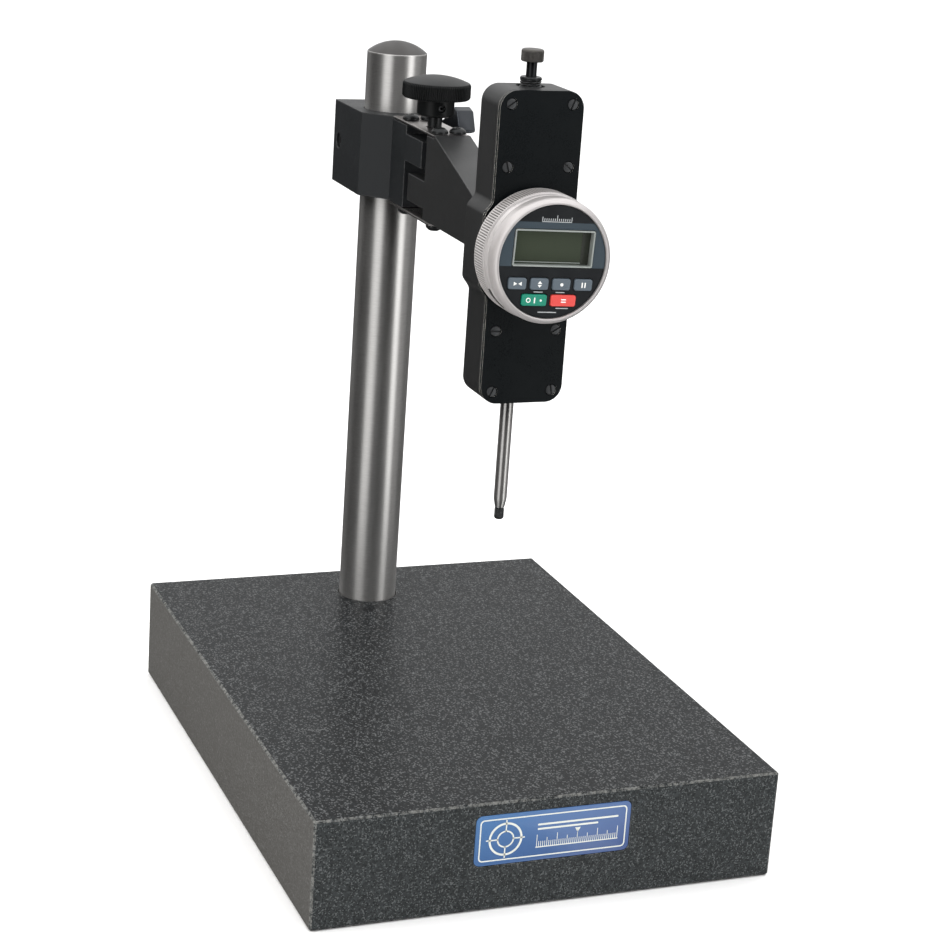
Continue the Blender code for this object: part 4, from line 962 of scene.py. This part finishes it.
def make_housing():
    front = HOUSING_FRONT_Y
    shell_front = front + COVER_T + GAP
    spindle = (0, SPINDLE_Y)
    tools = [
        block((-11.5, 11.5), (shell_front - 2, -56.6), (224.0, 354.0)),
        rod(5.3, "z", HOUSING_LOW_Z - 2, 226.0, spindle),
        lathe([(0, 352), (5.3, 352), (5.3, 357.5), (6.5, 357.5), (6.5, 362), (0, 362)], "z", spindle),
    ] + mount_screw_holes(-58.6, HOUSING_BACK_Y + 2)
    shell = combine(prism(housing_outline(), "y", shell_front, HOUSING_BACK_Y), tools)
    piece("housing_shell", shell, ANODISE, "arm", "indicator_housing", bevel=0.45)

    back = front + COVER_T
    centre = (0, DIAL_Z)
    boss = [(9.0, back - 1), (20, back - 1), (20, -79.7), (13.0, -79.7), (13.0, -84.8), (9.0, -84.8)]
    cover = prism(housing_outline(), "y", front, back)
    cover = combine(cover, [lathe(boss, "y", centre, ring=True)], "UNION")
    tools = [rod(9.0, "y", -86.8, back + 2, centre)]
    places = [(side * COVER_SCREW_X, z) for z in COVER_SCREW_ZS for side in (-1, 1)]
    for place in places:
        hole = [(0, front - 2), (2.7, front - 2), (2.7, front + 1.5)]
        hole += [(1.5, front + 1.5), (1.5, back + 2), (0, back + 2)]
        tools.append(lathe(hole, "y", place, 32))
    piece("cover", combine(cover, tools), COVER, "arm", "cover_plate", bevel=0.35)

    head = [(0, -0.1), (2.0, -0.1), (2.3, 0.05), (2.4, 0.3), (2.4, 1.2), (1.2, 1.2), (1.2, 9.2), (0, 9.2)]
    for number, (x, z) in enumerate(places, 1):
        slot = block((-4, 4), (-2, 0.8), (-0.4, 0.4))
        turn = Matrix.Rotation(math.radians(-35 * number), 4, "Y")
        bmesh.ops.transform(slot, matrix=turn, verts=slot.verts)
        shape = combine(lathe(head, "y", segments=64), [slot])
        piece(f"slotted_{number}", shape, SCREW, "arm", f"cover_screw_{number}", (x, front, z),
              bevel=0.08, segments=2)


def make_spindle():
    place = (0, SPINDLE_Y, 0)
    profile = [(0, 165.5), (1.3, 165.5), (1.3, 161.5), (2.2, 161.5), (3.08, 165.9), (3.08, STEM_Z)]
    profile += [(2.4, STEM_Z + 0.7), (2.4, 374.9), (0, 374.9)]
    piece("spindle_rod", lathe(soften(profile, 0.25)), SPINDLE, "spindle", "spindle", place)
    top = 161.2
    contact = [(0, 155.7), (1.0, 155.72), (1.6, 155.85), (2.05, 156.2), (2.3, 156.7), (2.3, top - 0.3),
               (2.05, top), (1.0, top), (1.0, top + 3.5), (0, top + 3.5)]
    knurl = ridges(30, 0.2, 2.2, 156.75, top - 0.3)
    shape = lathe(dense(contact, 0.1, 156.7, top - 0.3), segments=120, relief=knurl)
    piece("contact", shape, BLACK_STEEL, "spindle", "contact_point", place, smooth=60)
    low, high = 370.7, 376.6
    cap = [(0, 375.2), (2.7, 375.2), (2.7, low), (4.6, low), (5.1, low + 0.5), (5.1, high - 1.1),
           (4.7, high - 0.5)] + dome(4.3, high - 0.35, high, 8)
    knurl = ridges(54, 0.28, 4.9, low + 0.3, high - 1.0)
    shape = lathe(dense(cap, 0.5, low + 0.4, high - 1.0), segments=432, relief=knurl)
    piece("lifting_cap", shape, CAP, "spindle", "lift_cap", place, smooth=60)


def make_collar():
    place = (0, SPINDLE_Y, 0)
    collar = [(2.7, 350), (5.0, 350), (5.0, 363.4), (4.5, 364), (2.7, 364)]
    shape = lathe(dense(collar, 0.12, 350, 363.4), segments=72, ring=True,
                  relief=thread(1.0, 0.5, 4.9, 352.0, 363.3))
    piece("threaded_collar", shape, BLACK_STEEL, "arm", "upper_collar", place, smooth=50)
    bush = [(3.38, 217.3), (5.0, 217.3), (5.0, 228), (3.38, 228)]
    shape = lathe(soften(bush, 0.25, ring=True), ring=True)
    piece("bushing", shape, BRASS, "arm", "lower_bushing", place)


# ---- display head


def make_dial_case():
    wall, floor = 26.6, -82.2
    knurl_ends = (-90.3, -80.6)
    profile = [(13.4, -80.0), (28.4, -80.0), (29.0, -80.6), (29.0, -90.3), (28.6, -90.8), (27.4, -91.0),
               (27.4, -91.5), (28.5, -91.7), (28.5, -94.8), (28.3, -95.0), (wall, -95.0), (wall, floor),
               (13.4, floor)]
    profile = dense(profile + [profile[0]], 0.6, *knurl_ends)[:-1]
    shape = lathe(profile, "y", segments=900, ring=True, relief=ridges(150, 0.4, 28.9, *knurl_ends))
    tools = [block((20, 40), (-91.8, -86.0), (-11.2, 11.2))]
    for degrees in (218.0, 230.0):
        port = prism(rounded(1.7, 6.0, 0.6, (0, 0), 4), "x", 25, 31)
        turn = Matrix.Translation((0, -90.25, 0)) @ Matrix.Rotation(math.radians(-degrees), 4, "Y")
        bmesh.ops.transform(port, matrix=turn, verts=port.verts)
        tools.append(port)
    on_dial("case", combine(shape, tools), KNURLED, "dial_case", smooth=50)
    ring = [(13.3, -82.5), (17.5, -82.5), (17.5, -84.1), (13.3, -84.1)]
    shape = lathe(soften(ring, 0.2, ring=True), "y", ring=True)
    on_dial("retainer", shape, SPRING, "dial_retainer")


def make_bezel():
    profile = [(25.7, -95.3), (28.3, -95.3), (28.5, -95.5), (28.5, -99.4), (28.35, -100.3), (28.0, -101.1),
               (27.4, -101.9), (26.7, -102.45), (26.3, -102.6), (25.9, -102.55), (25.7, -102.3)]
    shape = lathe(soften(profile, 0.3, 3, True), "y", segments=256, ring=True)
    on_dial("bezel", shape, PAINT, "bezel_ring", smooth=50)


def key_places():
    """Each key's name, centre, width and height, and finish."""
    places = [(f"key_grey_{number}", (x, KEY_ROWS[0]), (8.6, 5.2), KEY_GREY)
              for number, x in enumerate(KEY_COLUMNS, 1)]
    places.append(("key_green", (-7.0, KEY_ROWS[1]), (12.0, 5.2), KEY_GREEN))
    places.append(("key_red", (7.0, KEY_ROWS[1]), (12.0, 5.2), KEY_RED))
    return places


def make_face():
    back = FACE_FRONT_Y + FACE_T
    tools = [prism(rounded(WINDOW_W + 2 * GAP, WINDOW_H + 2 * GAP, 0.9, (0, WINDOW_Z)), "y", -104, back + 2)]
    for _, place, (width, height), _ in key_places():
        tools.append(prism(rounded(width + 2 * GAP, height + 2 * GAP, 1.1, place), "y", -104, back + 2))
    panel = combine(rod(25.4, "y", FACE_FRONT_Y, back, segments=256), tools)
    on_dial("face", panel, FACE, "face_panel", bevel=0.12, segments=2)

    frame_back = FACE_FRONT_Y + 3.1
    rim, centre = 0.7, (0, WINDOW_Z)
    opening = prism(rounded(WINDOW_W - 2 * rim, WINDOW_H - 2 * rim, 0.4, centre), "y", -104, frame_back + 2)
    ring = combine(prism(rounded(WINDOW_W, WINDOW_H, 0.8, centre), "y", -101.9, frame_back), [opening])
    on_dial("window_frame", ring, SILVER, "lcd_frame", bevel=0.12, segments=2)
    glass_front = frame_back + GAP
    pane = block((-19.6, 19.6), (glass_front, glass_front + 4), (WINDOW_Z - 9.3, WINDOW_Z + 9.3))
    on_dial("display", pane, LCD, "lcd_module", bevel=0.2)
    inner_right, inner_top = WINDOW_W / 2 - rim, WINDOW_Z + WINDOW_H / 2 - rim
    inner_low = WINDOW_Z - WINDOW_H / 2 + rim
    # A dark strip on the glass along the inside of the window's right side.
    strip = block((inner_right - 3.8, inner_right + 0.4), (glass_front - 0.12, glass_front + 0.05),
                  (inner_low - 0.4, inner_top + 0.4))
    on_dial("display_dark_strip", strip, DARK_STRIP, slot="lcd_glass", bevel=0.03)
    ledge = block((-inner_right, inner_right - 3.8), (glass_front - 0.25, glass_front + 0.05),
                  (inner_low + 0.5, inner_low + 0.85))
    on_dial("display_ledge", ledge, SILVER, slot="frame_silver", bevel=0.05)
    make_keys()
    low, high = FACE_FRONT_Y - 0.06, FACE_FRONT_Y + 0.05
    marks = []
    for i in range(-7, 8):
        tall = 2.6 if i == 0 else 1.8 if i % 7 == 0 else 1.1
        marks.append(block((i - 0.16, i + 0.16), (low, high), (18.2, 18.2 + tall)))
    marks.append(block((-7.16, 7.16), (low, high), (17.7, 18.0)))
    for x, z, wide in ((-5.3, -13.7, 4.4), (5.3, -13.7, 4.4), (7.0, -20.9, 6.0), (0.0, -22.8, 9.0)):
        marks.append(prism(rounded(wide, 0.42, 0.2, (x, z), 3), "y", low, high))
    on_dial("face_print", merged(marks), FAINT_INK, slot=SLOT_OF["face_panel"])


def make_keys():
    for name, place, (width, height), finish in key_places():
        layers = []
        for inset, y in ((0.0, -98.9), (0.0, -102.0), (0.06, -102.22), (0.2, -102.38), (0.42, -102.47),
                         (0.8, -102.5), (1.6, -102.46), (2.2, -102.44)):
            radius = max(0.25, 1.0 - 0.5 * inset)
            layers.append((rounded(width - 2 * inset, height - 2 * inset, radius, place), y))
        on_dial(f"{name}_cap", stack("y", layers), finish, name, body=f"{name}_body", smooth=50)
    low, high = -102.56, -102.40

    def flat(points):
        return prism(points, "y", low, high)

    def bar(x, z, width, height):
        return prism(rounded(width, height, min(width, height) * 0.3, (x, z), 3), "y", low, high)

    def circle(x, z, outer, inner=0.0):
        if inner:
            return lathe([(inner, low), (outer, low), (outer, high), (inner, high)], "y", (x, z), 40, True)
        return rod(outer, "y", low, high, (x, z), 40)

    one, two, three, four = KEY_COLUMNS
    row, big = KEY_ROWS
    pair = (-1, 1)
    symbols = {
        "key_grey_1": [flat([(one + s * 1.9, row - 0.9), (one + s * 0.3, row), (one + s * 1.9, row + 0.9)])
                       for s in pair],
        "key_grey_2": [flat([(two - 1.0, row - s * 0.25), (two, row - s * 1.5), (two + 1.0, row - s * 0.25)])
                       for s in pair],
        "key_grey_3": [circle(three, row, 0.75)],
        "key_grey_4": [bar(four + s * 0.7, row, 0.6, 2.4) for s in pair],
        "key_green": [bar(-7.0, big, 0.55, 2.6), circle(-10.0, big, 1.1, 0.7), circle(-4.0, big, 0.5)],
        "key_red": [bar(7.0, big + s * 0.55, 2.4, 0.5) for s in pair],
    }
    for key, shapes in symbols.items():
        on_dial(f"{key}_symbol", merged(shapes), INK, body=f"{key}_body", slot=SLOT_OF[key])


def make_tray():
    tray = block((-1.0, 26.0), (-91.4, -86.4), (-10.8, 10.8))
    tab = block((25, 32.2), (-90.6, -87.4), (-4.5, 4.5))
    tray = combine(tray, [tab], "UNION")
    tools = [rod(10.3, "y", -93, -87.7, (10, 0), 96)]
    for i in range(5):
        z = (i - 2) * 1.7
        tools.append(block((29.8, 33), (-90.9, -90.3), (z - 0.35, z + 0.35)))
    on_dial("tray", combine(tray, tools), PLASTIC, "battery_tray", body="tray", bevel=0.25)
    top = -88.0
    coin = [(0, top), (8.3, top), (8.6, top - 0.25), (9.2, top - 0.3), (9.8, top - 0.8), (10, top - 1.1),
            (10, -90.9), (9.7, -91.2), (0, -91.2)]
    on_dial("coin_cell", lathe(coin, "y", (10, 0), 128), BATTERY_STEEL, "battery", body="tray")


# ---- assembly

for node_name, node_object in frame["nodes"].items():
    finish = BY_SLOT[SLOT_OF[node_name]]
    for material_slot in node_object.material_slots:
        material_slot.link = "OBJECT"
        material_slot.material = finish

make_stage()
make_base()
make_column()
make_clamp()
make_leaves()
make_leaf_screws()
make_arm()
make_knob()
make_lever()
make_housing()
make_spindle()
make_collar()
make_dial_case()
make_bezel()
make_face()
make_tray()
